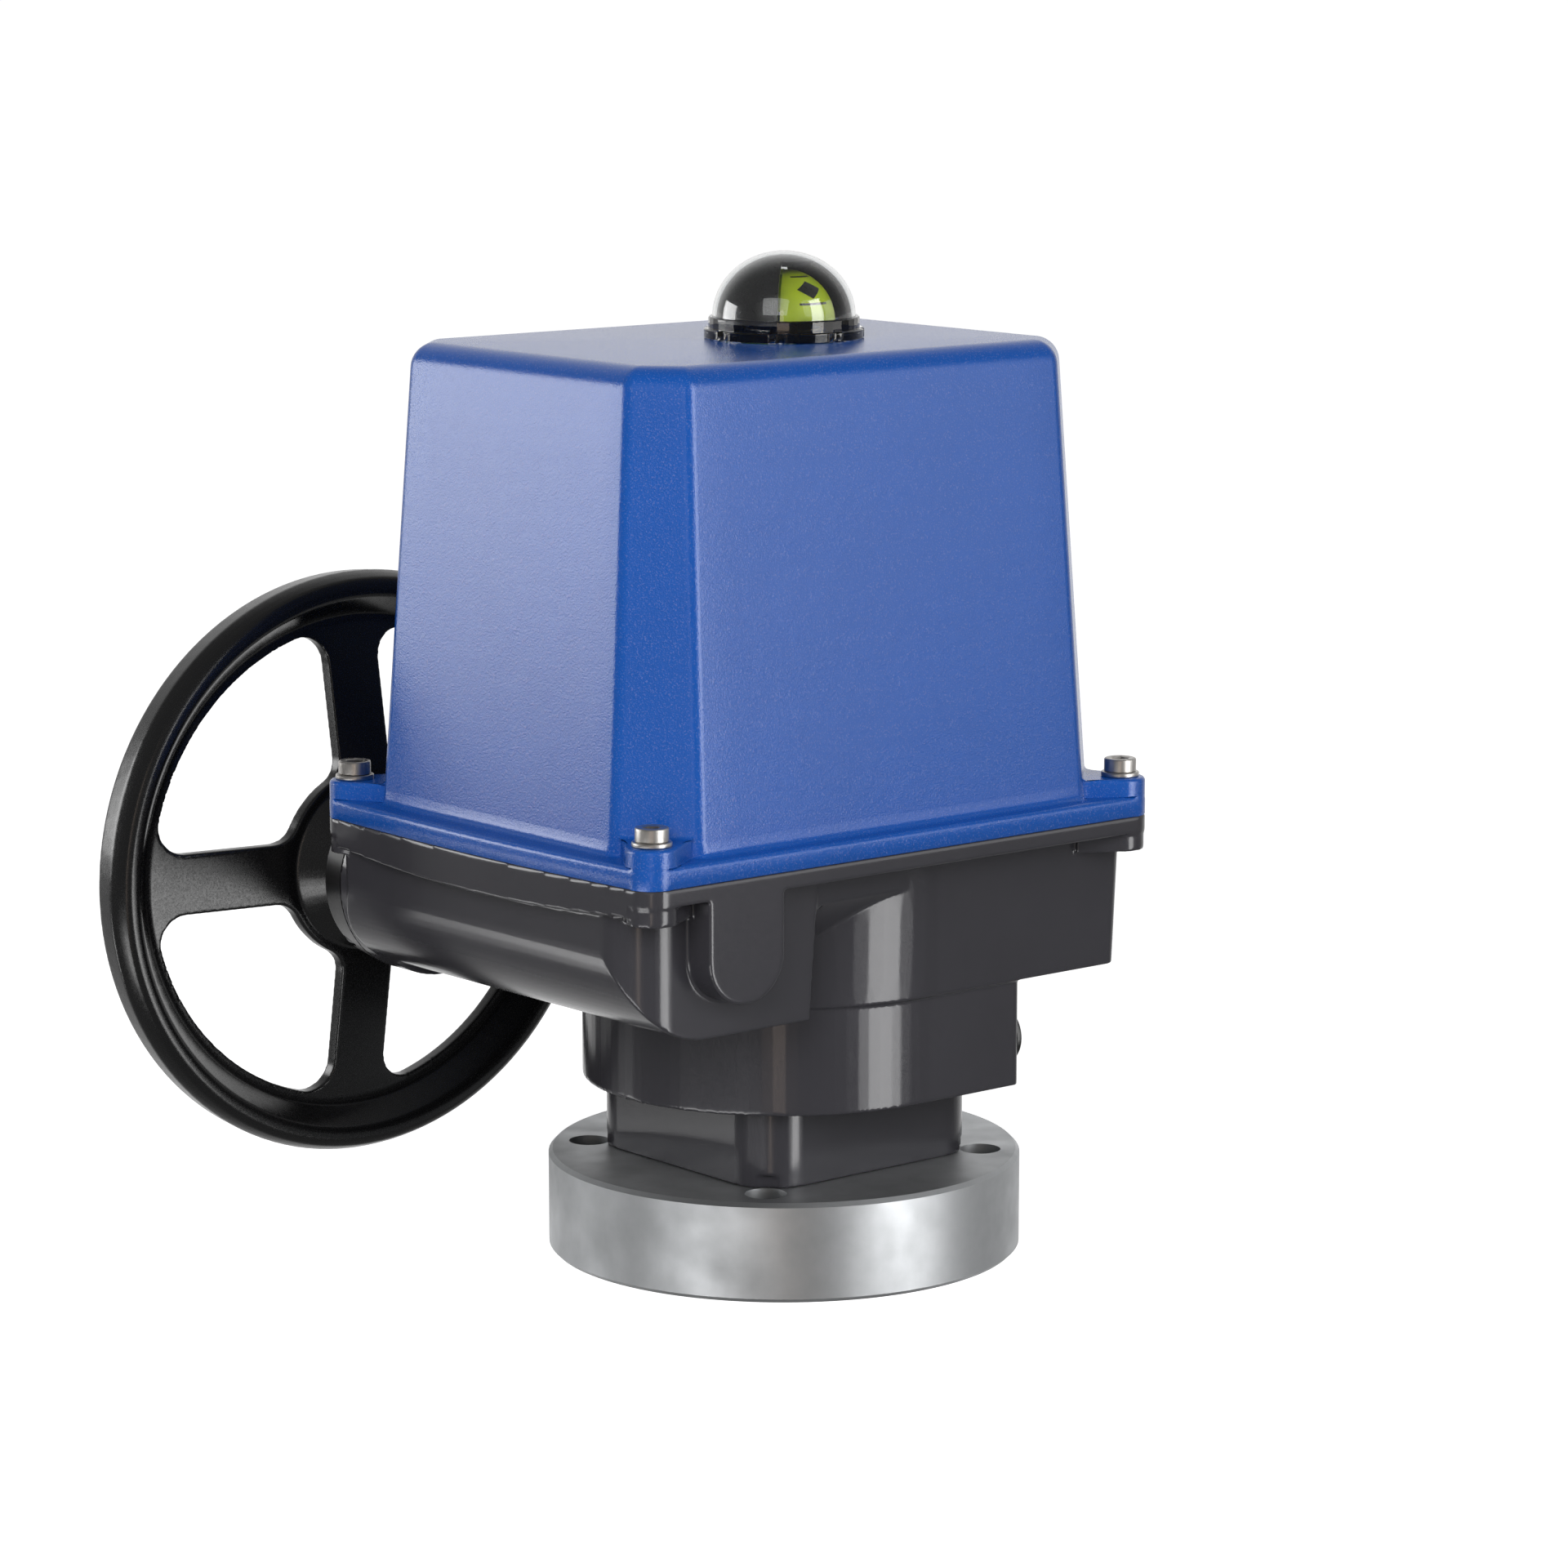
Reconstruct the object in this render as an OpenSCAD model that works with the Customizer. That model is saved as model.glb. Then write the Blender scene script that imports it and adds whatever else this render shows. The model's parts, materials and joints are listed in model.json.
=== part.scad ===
// Electric quarter-turn valve actuator with a side handwheel and a domed position indicator.
// Origin: on the output axis, in the plane of the mounting flange's lower face. +Z up, millimetres.
// The worm shaft runs along Y on the -X side and carries the handwheel behind the +Y wall.

/* [Mounting flange] */
// Diameter of the mounting flange
flange_d = 150; // [146:1:160]
// Thickness of the mounting flange
flange_t = 31.3; // [28:0.1:36]
// Chamfer on both rims of the flange
flange_chamfer = 1.3; // [0.6:0.1:2]
// Pitch circle of the four valve bolts, size F12
bolt_pcd = 125; // [122:1:128]
// Diameter of each valve bolt hole
bolt_hole_d = 13; // [12:0.1:13.5]
// Diameter of the centring recess under the flange
recess_d = 85; // [80:1:88]
// Depth of the centring recess
recess_depth = 3.5; // [2:0.5:5]
// Pitch circle of the screws that hold the flange to the neck
flange_screw_pcd = 76; // [74:1:80]
// Thread diameter of the flange screws
flange_screw_d = 8; // [6:1:8]
// Length of the flange screws under the head
flange_screw_l = 34; // [30:1:38]

/* [Gear housing] */
// Width of the square neck above the flange
neck_w = 89; // [86:1:92]
// Corner radius of the neck
neck_r = 15; // [12:1:16]
// Height of the neck
neck_h = 24.7; // [22:0.1:28]
// Diameter of the nut clearance cut into the neck's corners
scallop_d = 14.4; // [13:0.2:17]
// Height of the nut clearance
scallop_h = 4; // [2:1:12]
// Radius of the round end of the collar
collar_r = 64; // [63:0.5:65]
// How far the collar's straight sides stand in from the round end's widest place
collar_step = 0.2; // [0.1:0.1:0.5]
// Distance from the output axis to the collar's flat end
collar_end = 43.5; // [41:0.5:48]
// Height of the collar
collar_h = 33.7; // [32:0.1:38]
// Radius on the collar's two upright edges
collar_edge_r = 3; // [1:0.5:5]
// Height of the tray from its underside to the parting plane
tray_h = 49.3; // [47:0.1:53]
// Distance from the output axis to the tray's front face
tray_front = 66.6; // [66:0.1:68]
// Distance from the output axis to the tray's rear face
tray_back = 77.6; // [76:0.1:80]
// Distance from the output axis to the tray's right face
tray_right = 85.4; // [84:0.1:87]
// Radius on the tray's upright edges
tray_edge_r = 6; // [4:0.5:9]
// How far the tray's walls taper in from top to bottom
tray_taper = 1.8; // [0.5:0.1:2.5]
// Height of the recess between the worm block and the tray
notch_h = 35.7; // [30:0.1:38]
// Slope of the recess's ceiling, fall over run
notch_slope = 1.3; // [1:0.1:1.5]
// Radius in the recess's upper corner
notch_r = 7; // [4:0.5:9]
// Distance from the output axis to the worm block's left face
block_left = 113.6; // [113:0.1:115]
// Distance from the output axis to the worm block's right face at the top
block_right = 41.5; // [39:0.1:43]
// Distance from the output axis to the worm block's rear face
block_back = 82; // [81:0.1:84]
// How far the block's right face runs out towards the bottom
block_taper = 4; // [2:0.1:5]
// Radius on the block's front left upright edge
block_edge_r = 15; // [10:1:17]
// Radius under the block, along the worm
block_under_r = 28; // [22:1:30]
// Half width of the round-ended pad in front of the worm
pad_r = 14.2; // [12:0.1:16]
// Thickness of the casting's walls
wall = 5.5; // [5:0.1:6]
// Thickness of the collar's floor under the stop sector
collar_floor_t = 6; // [5:0.5:7]
// Thickness of the deck over the gears
plate_t = 3; // [2.5:0.5:4]

/* [Parting rim] */
// Distance from the output axis to the rim's left side at the corners
rim_left = 115.9; // [115:0.1:118]
// Distance from the output axis to the rim's right side
rim_right = 87.7; // [87:0.1:90]
// Distance from the output axis to the rim's front side
rim_front = 77.3; // [76.5:0.1:79]
// Distance from the output axis to the rim's rear side
rim_back = 88.6; // [88:0.1:90]
// How far the rim's left side bows out
rim_bow = 2.8; // [1:0.1:4]
// Corner radius of the rim, concentric with the cover screws
rim_r = 8; // [7.5:0.1:8.5]
// Height of the housing's rim under the parting plane
band_h = 5.3; // [4.5:0.1:7]
// Height of the rim at the ends of the left side
band_side_h = 8.4; // [8:0.1:10]
// How much deeper the left side's rim is in the middle
band_sag = 3.1; // [1:0.1:4]
// Height of the screw bosses under the parting plane
boss_h = 11; // [10.5:0.5:14]

/* [Cover] */
// Height of the cover above the parting plane
cover_h = 149.5; // [140:0.5:160]
// Height of the cover's rim
cover_rim_h = 6; // [5:0.5:8]
// Height of the screw lugs above the parting plane
lug_h = 12; // [10:0.5:14]
// How far the lugs stand back from the rim's corners
lug_step = 0.3; // [0.2:0.1:0.8]
// Width of a lug where it meets the cover's corner
lug_foot_w = 22.4; // [20:0.2:24]
// Distance from the rim to the foot of the cover's walls
cover_ledge = 6.4; // [6:0.1:8]
// Draft angle of the cover's walls
cover_draft = 4; // [3:0.5:5]
// Side of the flat cut on the cover's upright corners, at the foot
cover_cut = 18.8; // [17:0.2:20]
// Radius on the cover's edges
cover_edge_r = 7.5; // [6:0.5:9]
// Thickness of the cover's walls
cover_wall = 4; // [3:0.5:5]
// Thread diameter of the cover screws
cover_screw_d = 6; // [5:1:6]
// Length of the cover screws under the head
cover_screw_l = 22; // [20:1:24]
// Outer diameter of the washers under the cover screws
washer_d = 12; // [11.5:0.5:13]
// Thickness of those washers
washer_t = 1.6; // [1:0.2:2]

/* [Position indicator] */
// Outer radius of the dome
dome_r = 22.3; // [21.5:0.1:24]
// Height of the dome above its rings
dome_rise = 20.2; // [19:0.1:22]
// Thickness of the dome's wall
dome_wall = 2; // [1.5:0.1:2.5]
// Radius of the dome's lower ring
dome_ring_r = 24.9; // [24.5:0.1:27]
// Height of the lower ring
dome_ring_h = 3.2; // [2.5:0.1:4]
// Radius of the dome's upper ring
dome_band_r = 23.5; // [23.3:0.1:24.4]
// Height of the upper ring
dome_band_h = 3.6; // [2.5:0.1:5]
// Radius of the dome's threaded neck
dome_neck_r = 18.6; // [17.5:0.1:19]
// Radius of the indicator drum
drum_r = 16.8; // [14:0.1:17]
// Diameter of the indicator shaft
stem_d = 10; // [8:1:12]

/* [Output] */
// Diameter of the output shaft's lower journal
shaft_d = 46; // [44:1:48]
// Diameter of the output shaft's gear seat
seat_d = 40; // [36:1:42]
// Diameter of the output shaft's upper journal
top_journal_d = 30; // [26:1:32]
// Side of the square drive socket
socket_w = 27; // [22:0.5:27]
// Depth of the drive socket
socket_depth = 38; // [34:1:44]
// Number of teeth on the worm wheel
wheel_teeth = 60; // [59:1:61]
// Module of the worm and the worm wheel
worm_module = 2; // [1.95:0.05:2]
// Face width of the worm wheel
wheel_w = 22; // [18:1:24]
// Radius of the worm wheel's hub
wheel_hub_r = 30; // [28:1:34]
// Pitch radius of the worm
worm_r = 18.35; // [18:0.05:18.6]
// Length of the worm's thread
worm_l = 68; // [60:1:72]
// Height of the worm's axis above the worm block's underside
worm_lift = 25.5; // [25:0.1:27]
// Thickness of the stop sector
sector_t = 16; // [14:1:17]
// Distance from the output axis to each stop screw
stop_off = 53; // [52:0.5:54]
// Height of the stop screws above the collar's underside
stop_lift = 14.2; // [13:0.1:15]
// Thread diameter of the stop screws
stop_screw_d = 10; // [8:1:10]
// Radius of the stop plug's disc
plug_r = 9.5; // [8:0.1:10]
// Thickness of the stop plug's disc
plug_t = 2.4; // [2:0.1:3]
// Height of the stop plug's slotted head
plug_head_h = 3.4; // [3:0.1:5]
// Width of the slot in that head
plug_slot = 1.6; // [1.2:0.1:2]

/* [Worm shaft and handwheel] */
// Diameter of the worm shaft in its bearings
worm_shaft_d = 17; // [15:1:18]
// Outer diameter of the worm bearings
bearing_d = 40; // [39.6:0.1:40.4]
// Width of the worm bearings
bearing_w = 12; // [10:1:13]
// Radius of the end cap between the housing and the handwheel
cap_r = 30; // [28:0.5:31]
// Thickness of the end cap outside the housing
cap_t = 10; // [8:0.5:12]
// Outer radius of the handwheel's rim
wheel_r = 95; // [90:1:100]
// Depth of the handwheel's rim
rim_depth = 15.5; // [12:0.5:18]
// Width of the rim's section
rim_w = 17; // [15:0.5:20]
// Width of a spoke
spoke_w = 19.5; // [16:0.5:24]
// Thickness of the spokes
spoke_t = 5; // [4:0.5:7]
// How far the spokes lean back from hub to rim
dish = 8; // [6:0.5:10]
// Radius of the round plate at the hub
hub_plate_r = 31; // [28:0.5:34]
// Radius of the hub
hub_r = 20; // [18:0.5:22]
// Length of the hub between the end cap and the spokes
hub_l = 15; // [12:0.5:20]
// Diameter of the shaft end in the hub
hub_bore_d = 14; // [12:1:15]
// Thread diameter of the screw that holds the handwheel
wheel_screw_d = 6; // [5:1:8]
// Length of that screw under the head
wheel_screw_l = 18; // [14:1:22]
// Radius of the washer under it
wheel_washer_r = 11; // [9:0.5:12]
// Thickness of that washer
wheel_washer_t = 2; // [1.5:0.5:3]
// Fillet radius in the corners of the handwheel's windows
window_r = 9; // [6:0.5:9.5]

/* [Gear train] */
// Module of the spur gears
spur_module = 1; // [0.95:0.05:1]
// Teeth on the gear on the worm shaft
worm_gear_teeth = 38; // [37:1:38]
// Teeth on the idler gear
idler_teeth = 50; // [48:1:50]
// Teeth on the motor pinion
pinion_teeth = 14; // [14:1:15]
// Face width of the spur gears
spur_w = 8; // [6:0.5:9]
// Sideways offset of the idler's axis from the worm's
idler_shift = 12; // [10:0.5:14]
// Sideways offset of the motor's axis from the idler's
motor_shift = 30; // [29:0.5:30.5]
// Radius of the motor's body
motor_r = 27; // [24:0.5:27.5]
// Length of the motor's body
motor_l = 62; // [50:1:70]
// Length of the gearhead in front of the motor
gearhead_l = 26; // [20:1:30]
// Thickness of the gear bracket
bracket_t = 4; // [3:0.5:5]
// Distance from the idler's axis to the gear bracket's left edge
bracket_left = 20; // [18:1:22]
// Distance from the motor's axis to the gear bracket's right edge
bracket_right = 24; // [20:1:28]
// Height of the gear bracket above the motor's axis
bracket_rise = 22; // [18:1:26]
// Length of the gear bracket's foot behind its plate
bracket_foot_l = 13; // [10:1:16]
// Thickness of the gear bracket's foot
bracket_foot_t = 3; // [2:0.5:4]
// Distance from the idler's axis to the bracket screw on its left
bracket_screw_left = 12; // [10:1:14]
// Distance from the idler's axis to the middle bracket screw
bracket_screw_mid = 30; // [28:1:32]
// Distance from the motor's axis to the bracket screw on its right
bracket_screw_right = 12; // [10:1:14]

/* [Electrical parts] */
// Length of the control board along X
board_l = 56; // [50:1:58]
// Width of the control board along Y
board_w = 46; // [42:1:48]
// Thickness of the control board
board_t = 1.6; // [1:0.2:2]
// Height of the board's standoffs
standoff_h = 11; // [8:1:16]
// Radius of the motor capacitor
capacitor_r = 14; // [11:0.5:16]
// Height of the motor capacitor
capacitor_h = 60; // [45:1:70]
// Outer diameter of the cable glands' thread, size M20
gland_d = 20; // [18:1:20]
// Distance between the two cable glands
gland_pitch = 29; // [28:0.5:32]
// Distance from the output axis to the capacitor along X
capacitor_x = 52; // [50:1:54]
// Distance from the output axis to the capacitor along Y
capacitor_y = 42; // [40:1:43]
// Side of a relay
relay_w = 16; // [14:1:18]
// Height of a relay
relay_h = 15; // [12:1:20]
// Distance between the two relays
relay_pitch = 22; // [20:1:26]
// Height of the terminal blocks
terminal_h = 12; // [10:0.5:14]
// Depth of the terminal blocks
terminal_w = 10; // [8:0.5:12]
// Length of the heater
heater_l = 26; // [20:1:30]
// Width and height of the heater
heater_w = 14; // [12:1:16]
// Distance from the output axis to the heater's front face
heater_y = 52; // [50:1:54]
// Length of the cable slot in the deck
slot_l = 28; // [20:1:30]
// Width of the cable slot in the deck
slot_w = 9; // [6:1:12]
// Distance from the output axis to the cable slot's front end
slot_y = 40; // [36:1:42]
// Length of a cable gland's dust plug
gland_plug_l = 18; // [14:1:20]
// Height of a gland's nut
gland_nut_h = 9; // [8:0.5:10]
// Width of the switch bracket and of its foot
switch_plate_w = 34; // [30:1:38]
// Thickness of the switch bracket
switch_plate_t = 2; // [1.5:0.5:3]
// Depth of the switch bracket's foot
switch_foot_l = 14; // [12:1:16]
// Distance from the output axis to the switch bracket, less the cams' radius
switch_reach = 22; // [20:1:24]
// Depth of the limit switch bodies
switch_depth = 16; // [14:1:18]
// Width of the limit switch bodies
switch_w = 28; // [24:1:30]
// Height of the limit switch bodies
switch_h = 12; // [10:1:14]
// Radius of the switch cams
cam_r = 14; // [12:0.5:15]

/* [Clearances] */
// Gap between pieces that are fixed to each other
fit_gap = 0.05; // [0.03:0.01:0.1]
// Radial gap of a shaft that turns in its bearing
run_gap = 0.05; // [0.03:0.01:0.08]
// Gap beside pieces that pass each other
pass_gap = 0.5; // [0.4:0.1:1]
// Gap between the worm and the deck above it
worm_room = 1.05; // [0.8:0.05:1.5]
// Backlash between meshing teeth, along the pitch circle
backlash = 0.3; // [0.25:0.01:0.35]

/* [Hidden] */
$fn = 48;
hull_fn = 32;
eps = 0.01;
over = 1;
press_angle = 20;

// Levels
z_neck = flange_t;
z_collar = z_neck + neck_h;
z_tray = z_collar + collar_h;
z_part = z_tray + tray_h;
z_top = z_part + cover_h;
z_floor = z_collar + collar_floor_t;
z_plate = z_part - plate_t;
z_deck = z_part;

// Corners of the parting plane's outline
rim_mid_y = (rim_back - rim_front) / 2;
rim_half_y = (rim_back + rim_front) / 2;
screw_x = [-(rim_left - rim_r), rim_right - rim_r];
screw_y = [-(rim_front - rim_r), rim_back - rim_r];

// Output and worm
wheel_pitch_r = worm_module * wheel_teeth / 2;
wheel_tip_r = wheel_pitch_r + 0.75 * worm_module;
wheel_root_r = wheel_pitch_r - 1.2 * worm_module;
worm_x = -(wheel_pitch_r + worm_r);
worm_tip_r = worm_r + 0.7 * worm_module;
worm_root_r = worm_r - 1.2 * worm_module;
worm_pitch = PI * worm_module;
z_worm = z_plate - worm_room - worm_tip_r;
z_block = z_worm - worm_lift;
lead_angle = atan(worm_module / (2 * worm_r));
chamber_r = wheel_tip_r + 0.8;
chamber_wall_r = tray_front + 0.2;
lower_chamber_r = collar_r - wall;
z_wheel = z_worm - wheel_w / 2;
z_hub = z_wheel - 6;
z_sector = z_floor + 3.8;
z_stop = z_collar + stop_lift;
shaft_r = shaft_d / 2;
seat_r = seat_d / 2;
top_journal_r = top_journal_d / 2;
z_shaft = recess_depth + 0.5;
z_top_journal = z_wheel + wheel_w + 6;
bush_t = 3;
key_w = 10;
key_h = 8;
stem_r = stem_d / 2;
ring_t = 2;
stop_tip_r = 3.5;

// Worm shaft stations along Y
front_bearing = -(tray_front - 2.6);
chamber_front = front_bearing + bearing_w;
gear_front = chamber_front + 3;
rear_bearing = worm_l / 2 + 24;
worm_shaft_r = worm_shaft_d / 2;
worm_seat_r = worm_shaft_r + 2;
worm_key_w = 5;
bearing_r = bearing_d / 2;
cap_seat = rim_back + pass_gap;
cap_face = cap_seat + cap_t;
hub_front = cap_face + 2;
plate_y = hub_front + hub_l;
hub_end = plate_y + 8;
hub_bore_r = hub_bore_d / 2;

// Spur gears
worm_gear_r = spur_module * worm_gear_teeth / 2;
idler_r = spur_module * idler_teeth / 2;
pinion_r = spur_module * pinion_teeth / 2;
idler_reach = worm_gear_r + idler_r;
idler_x = worm_x + idler_shift;
idler_z = z_worm + sqrt(idler_reach * idler_reach - idler_shift * idler_shift);
motor_reach = idler_r + pinion_r;
motor_x = idler_x + motor_shift;
motor_z = idler_z + sqrt(motor_reach * motor_reach - motor_shift * motor_shift);
idler_dir = atan2(idler_z - z_worm, idler_shift);
motor_dir = atan2(motor_z - idler_z, motor_shift);
idler_turn = idler_dir + 180 + 180 / idler_teeth;
idler_lean = idler_turn - motor_dir;
idler_phase = idler_lean - round(idler_lean * idler_teeth / 360) * 360 / idler_teeth;
pinion_turn = motor_dir + 180 - idler_phase * idler_teeth / pinion_teeth + 180 / pinion_teeth;
bracket_face = gear_front + spur_w + 2;
pin_r = 4;
motor_shaft_r = 4;

// Switches beside the indicator shaft, above the motor
z_cams = motor_z + motor_r + 5;
switch_back = cam_r + switch_reach;

// Control board, over the pocket behind the cable glands
board_x = 12;
board_y = 24;
pocket_r = 5;
pocket_left = 12;
pocket_right = tray_right - wall - tray_taper - 5;

// Indicator
z_dome = z_top;
z_dome_mid = z_dome + dome_ring_h + dome_band_h;
z_drum = z_dome + dome_ring_h + 2;

// Helpers

// A prism on the XZ plane, drawn as seen from the front, from y0 back to y0 + length
module along_y(y0, length) {
  translate([0, y0 + length, 0])
    rotate([90, 0, 0])
      linear_extrude(length) children();
}

// A prism on the YZ plane, drawn with Y to the right and Z up, from x0 to x0 + length
module along_x(x0, length) {
  translate([x0, 0, 0])
    rotate([90, 0, 90])
      linear_extrude(length) children();
}

// The waste of a round inner corner at the origin, open towards +X and +Y
module corner_waste(r) {
  difference() {
    translate([-over, -over]) square(r + over);
    translate([r, r]) circle(r);
  }
}

// A rectangle from a to b with all four corners rounded
module round_rect(a, b, r) {
  difference() {
    translate(a) square(b - a);
    translate(a) corner_waste(r);
    translate([b[0], a[1]]) mirror([1, 0]) corner_waste(r);
    translate([a[0], b[1]]) mirror([0, 1]) corner_waste(r);
    translate(b) mirror([1, 0]) mirror([0, 1]) corner_waste(r);
  }
}

// The outline shared by the rims of the housing and the cover
module rim_outline() {
  round_rect([-rim_left, -rim_front], [rim_right, rim_back], rim_r);
  rim_bow_plan();
}

// The bowed stretch of the rim's left side, between the two screws
module rim_bow_plan() {
  half = rim_half_y - rim_r - over;
  bow_r = (half * half + rim_bow * rim_bow) / (2 * rim_bow);
  intersection() {
    translate([bow_r - rim_left - rim_bow, rim_mid_y]) circle(bow_r, $fn = 180);
    translate([-rim_left - rim_bow - over, rim_mid_y - half]) square([rim_bow + over + rim_r, 2 * half]);
  }
}

// Corners of the cover's eight-sided plan, moved in by inset
function eight(inset, cut) =
  let (
    a = rim_left - cover_ledge - inset,
    b = rim_right - cover_ledge - inset,
    c = rim_front - cover_ledge - inset,
    d = rim_back - cover_ledge - inset,
    k = cut - (2 - sqrt(2)) * inset
  )
  [[-a, -c + k], [-a + k, -c], [b - k, -c], [b, -c + k], [b, d - k], [b - k, d], [-a + k, d], [-a, d - k]];

module eight_plan(inset) polygon(eight(inset, cover_cut));

// One lug around the screw at the corner i, j of the parting rim, reaching in to the cover's corner
module lug_plan(i, j) {
  reach = 13;
  turn = atan2(j == 0 ? 1 : -1, i == 0 ? 1 : -1);
  r = rim_r - lug_step;
  translate([screw_x[i], screw_y[j]])
    rotate(turn) {
      circle(r);
      polygon([[0, -r], [reach, -lug_foot_w / 2], [reach, lug_foot_w / 2], [0, r]]);
    }
}

module at_cover_screws() {
  for (i = [0, 1], j = [0, 1])
    translate([screw_x[i], screw_y[j], 0]) children();
}

// A socket head screw along -Z, with the underside of its head at the origin
module socket_screw(d, length) {
  head_r = 0.84 * d;
  head_h = d;
  difference() {
    union() {
      cylinder(r = head_r, h = head_h);
      translate([0, 0, -length]) cylinder(r = d / 2, h = length + eps);
    }
    translate([0, 0, head_h / 2]) cylinder(r = 0.5 * d, h = head_h, $fn = 6);
  }
}

// Involute gear outline with a tooth centred on the X axis
function involute(base, r) = let (a = acos(base / max(r, base))) tan(a) * 180 / PI - a;
function tooth_half(m, n, r) =
  let (pitch = m * n / 2, base = pitch * cos(press_angle))
  90 / n - backlash / 4 / pitch * 180 / PI + involute(base, pitch) - involute(base, r);
module gear_outline(m, n) {
  tip = m * n / 2 + m;
  root = m * n / 2 - 1.25 * m;
  steps = [root, m * n / 2 - 0.5 * m, m * n / 2 + 0.3 * m, tip];
  points = [
    for (i = [0:n - 1]) each [
      for (r = steps) let (a = i * 360 / n - tooth_half(m, n, r)) r * [cos(a), sin(a)],
      for (k = [3:-1:0]) let (a = i * 360 / n + tooth_half(m, n, steps[k])) steps[k] * [cos(a), sin(a)]
    ]
  ];
  polygon(points);
}

// Mounting flange
module base_flange() color([0.72, 0.74, 0.76]) {
  r = flange_d / 2;
  c = flange_chamfer;
  head_depth = 12;
  difference() {
    rotate_extrude($fn = 96)
      polygon([
        [recess_d / 2, 0], [r - c, 0], [r, c], [r, flange_t - c], [r - c, flange_t],
        [shaft_r + 7, flange_t], [shaft_r + 7, flange_t - 7], [shaft_r + 1, flange_t - 7],
        [shaft_r + 1, recess_depth], [recess_d / 2, recess_depth]
      ]);
    for (a = [45:90:315]) rotate(a) {
      translate([bolt_pcd / 2, 0, -over]) cylinder(d = bolt_hole_d, h = flange_t + 2 * over);
      translate([flange_screw_pcd / 2, 0, -over])
        cylinder(r = flange_screw_d / 2 + 0.3, h = flange_t + 2 * over);
      translate([flange_screw_pcd / 2, 0, -over])
        cylinder(r = flange_screw_d * 0.84 + 0.4, h = head_depth + over);
    }
  }
}

module flange_screws() color([0.5, 0.5, 0.52])
  for (a = [45:90:315])
    rotate(a)
      translate([flange_screw_pcd / 2, 0, 12])
        mirror([0, 0, 1]) socket_screw(flange_screw_d, flange_screw_l);

// Housing, outside
module neck() {
  difference() {
    translate([0, 0, z_neck])
      linear_extrude(neck_h + over) round_rect([-1, -1] * neck_w / 2, [1, 1] * neck_w / 2, neck_r);
    for (a = [45:90:315])
      rotate(a)
        translate([bolt_pcd / 2, 0, z_neck - over]) cylinder(d = scallop_d, h = scallop_h + over);
  }
}

module collar() {
  side = collar_r - collar_step;
  translate([0, 0, z_collar])
    linear_extrude(collar_h + over) {
      circle(collar_r, $fn = 96);
      difference() {
        translate([0, -side]) square([collar_end, 2 * side]);
        translate([collar_end, -side]) mirror([1, 0]) corner_waste(collar_edge_r);
        translate([collar_end, side]) mirror([1, 0]) mirror([0, 1]) corner_waste(collar_edge_r);
      }
    }
}

module tray() {
  r = tray_edge_r;
  difference() {
    translate([0, 0, z_tray])
      hull()
        for (x = [-block_right - r, tray_right - r], y = [-tray_front + r, tray_back - r])
          translate([x, y, 0])
            cylinder(r1 = r - tray_taper, r2 = r, h = tray_h - band_h + over, $fn = hull_fn);
    notch();
  }
  translate([0, 0, z_tray])
    cylinder(r1 = chamber_wall_r - tray_taper + 0.2, r2 = chamber_wall_r, h = tray_h - band_h + over, $fn = 96);
}

// The open corner between the worm block and the tray, with its sloping ceiling
module notch() {
  top = z_tray + notch_h;
  depth = notch_h / notch_slope;
  along_x(-block_right - 2 * tray_edge_r, block_right + 2 * tray_edge_r)
    polygon([
      [-tray_front - over, z_tray - over], [-tray_front - over, top], [-tray_front, top],
      [-tray_front + depth, z_tray - eps], [-tray_front + depth, z_tray - over]
    ]);
}

// The small web that rounds the recess's upper corner
module notch_fillet() {
  top = z_tray + notch_h;
  shift = block_taper * (tray_h - notch_h) / (z_part - z_block);
  intersection() {
    along_y(-tray_front + tray_taper * 0.3, 2 * notch_r)
      translate([-block_right - shift - over / 2, top + over / 2])
        mirror([0, 1]) corner_waste(notch_r + over / 2);
    translate([-block_right - shift - over, -tray_front, top - notch_r])
      cube([notch_r + over, 2 * notch_r, notch_r + over / 2]);
  }
}

module worm_block() {
  intersection() {
    translate([0, 0, z_block])
      linear_extrude(z_part - z_block)
        difference() {
          translate([-block_left, -tray_front]) square([block_left - block_right, tray_front + block_back]);
          translate([-block_left, -tray_front]) corner_waste(block_edge_r);
          translate([-block_left, block_back]) mirror([0, 1]) corner_waste(tray_edge_r);
        }
    along_y(-tray_front - over, tray_front + block_back + 2 * over)
      difference() {
        polygon([
          [-block_left, z_block], [-block_right - block_taper, z_block],
          [-block_right, z_part], [-block_left, z_part]
        ]);
        translate([-block_left, z_block]) corner_waste(block_under_r);
      }
  }
}

// Round boss behind the block, which ends just past the rim and seats the end cap
module cap_boss() {
  along_y(block_back - tray_edge_r - over, cap_seat - block_back + tray_edge_r + over)
    intersection() {
      translate([worm_x, z_worm]) circle(cap_r, $fn = 96);
      translate([worm_x - cap_r - over, z_worm - cap_r - over])
        square([2 * cap_r + 2 * over, z_part - z_worm + cap_r + over]);
    }
}

module pad() {
  low = z_worm;
  along_y(-rim_front, rim_front - tray_front + over) {
    translate([worm_x, low]) circle(pad_r);
    translate([worm_x - pad_r, low]) square([2 * pad_r, z_part - band_h - low + eps]);
  }
}

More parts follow.
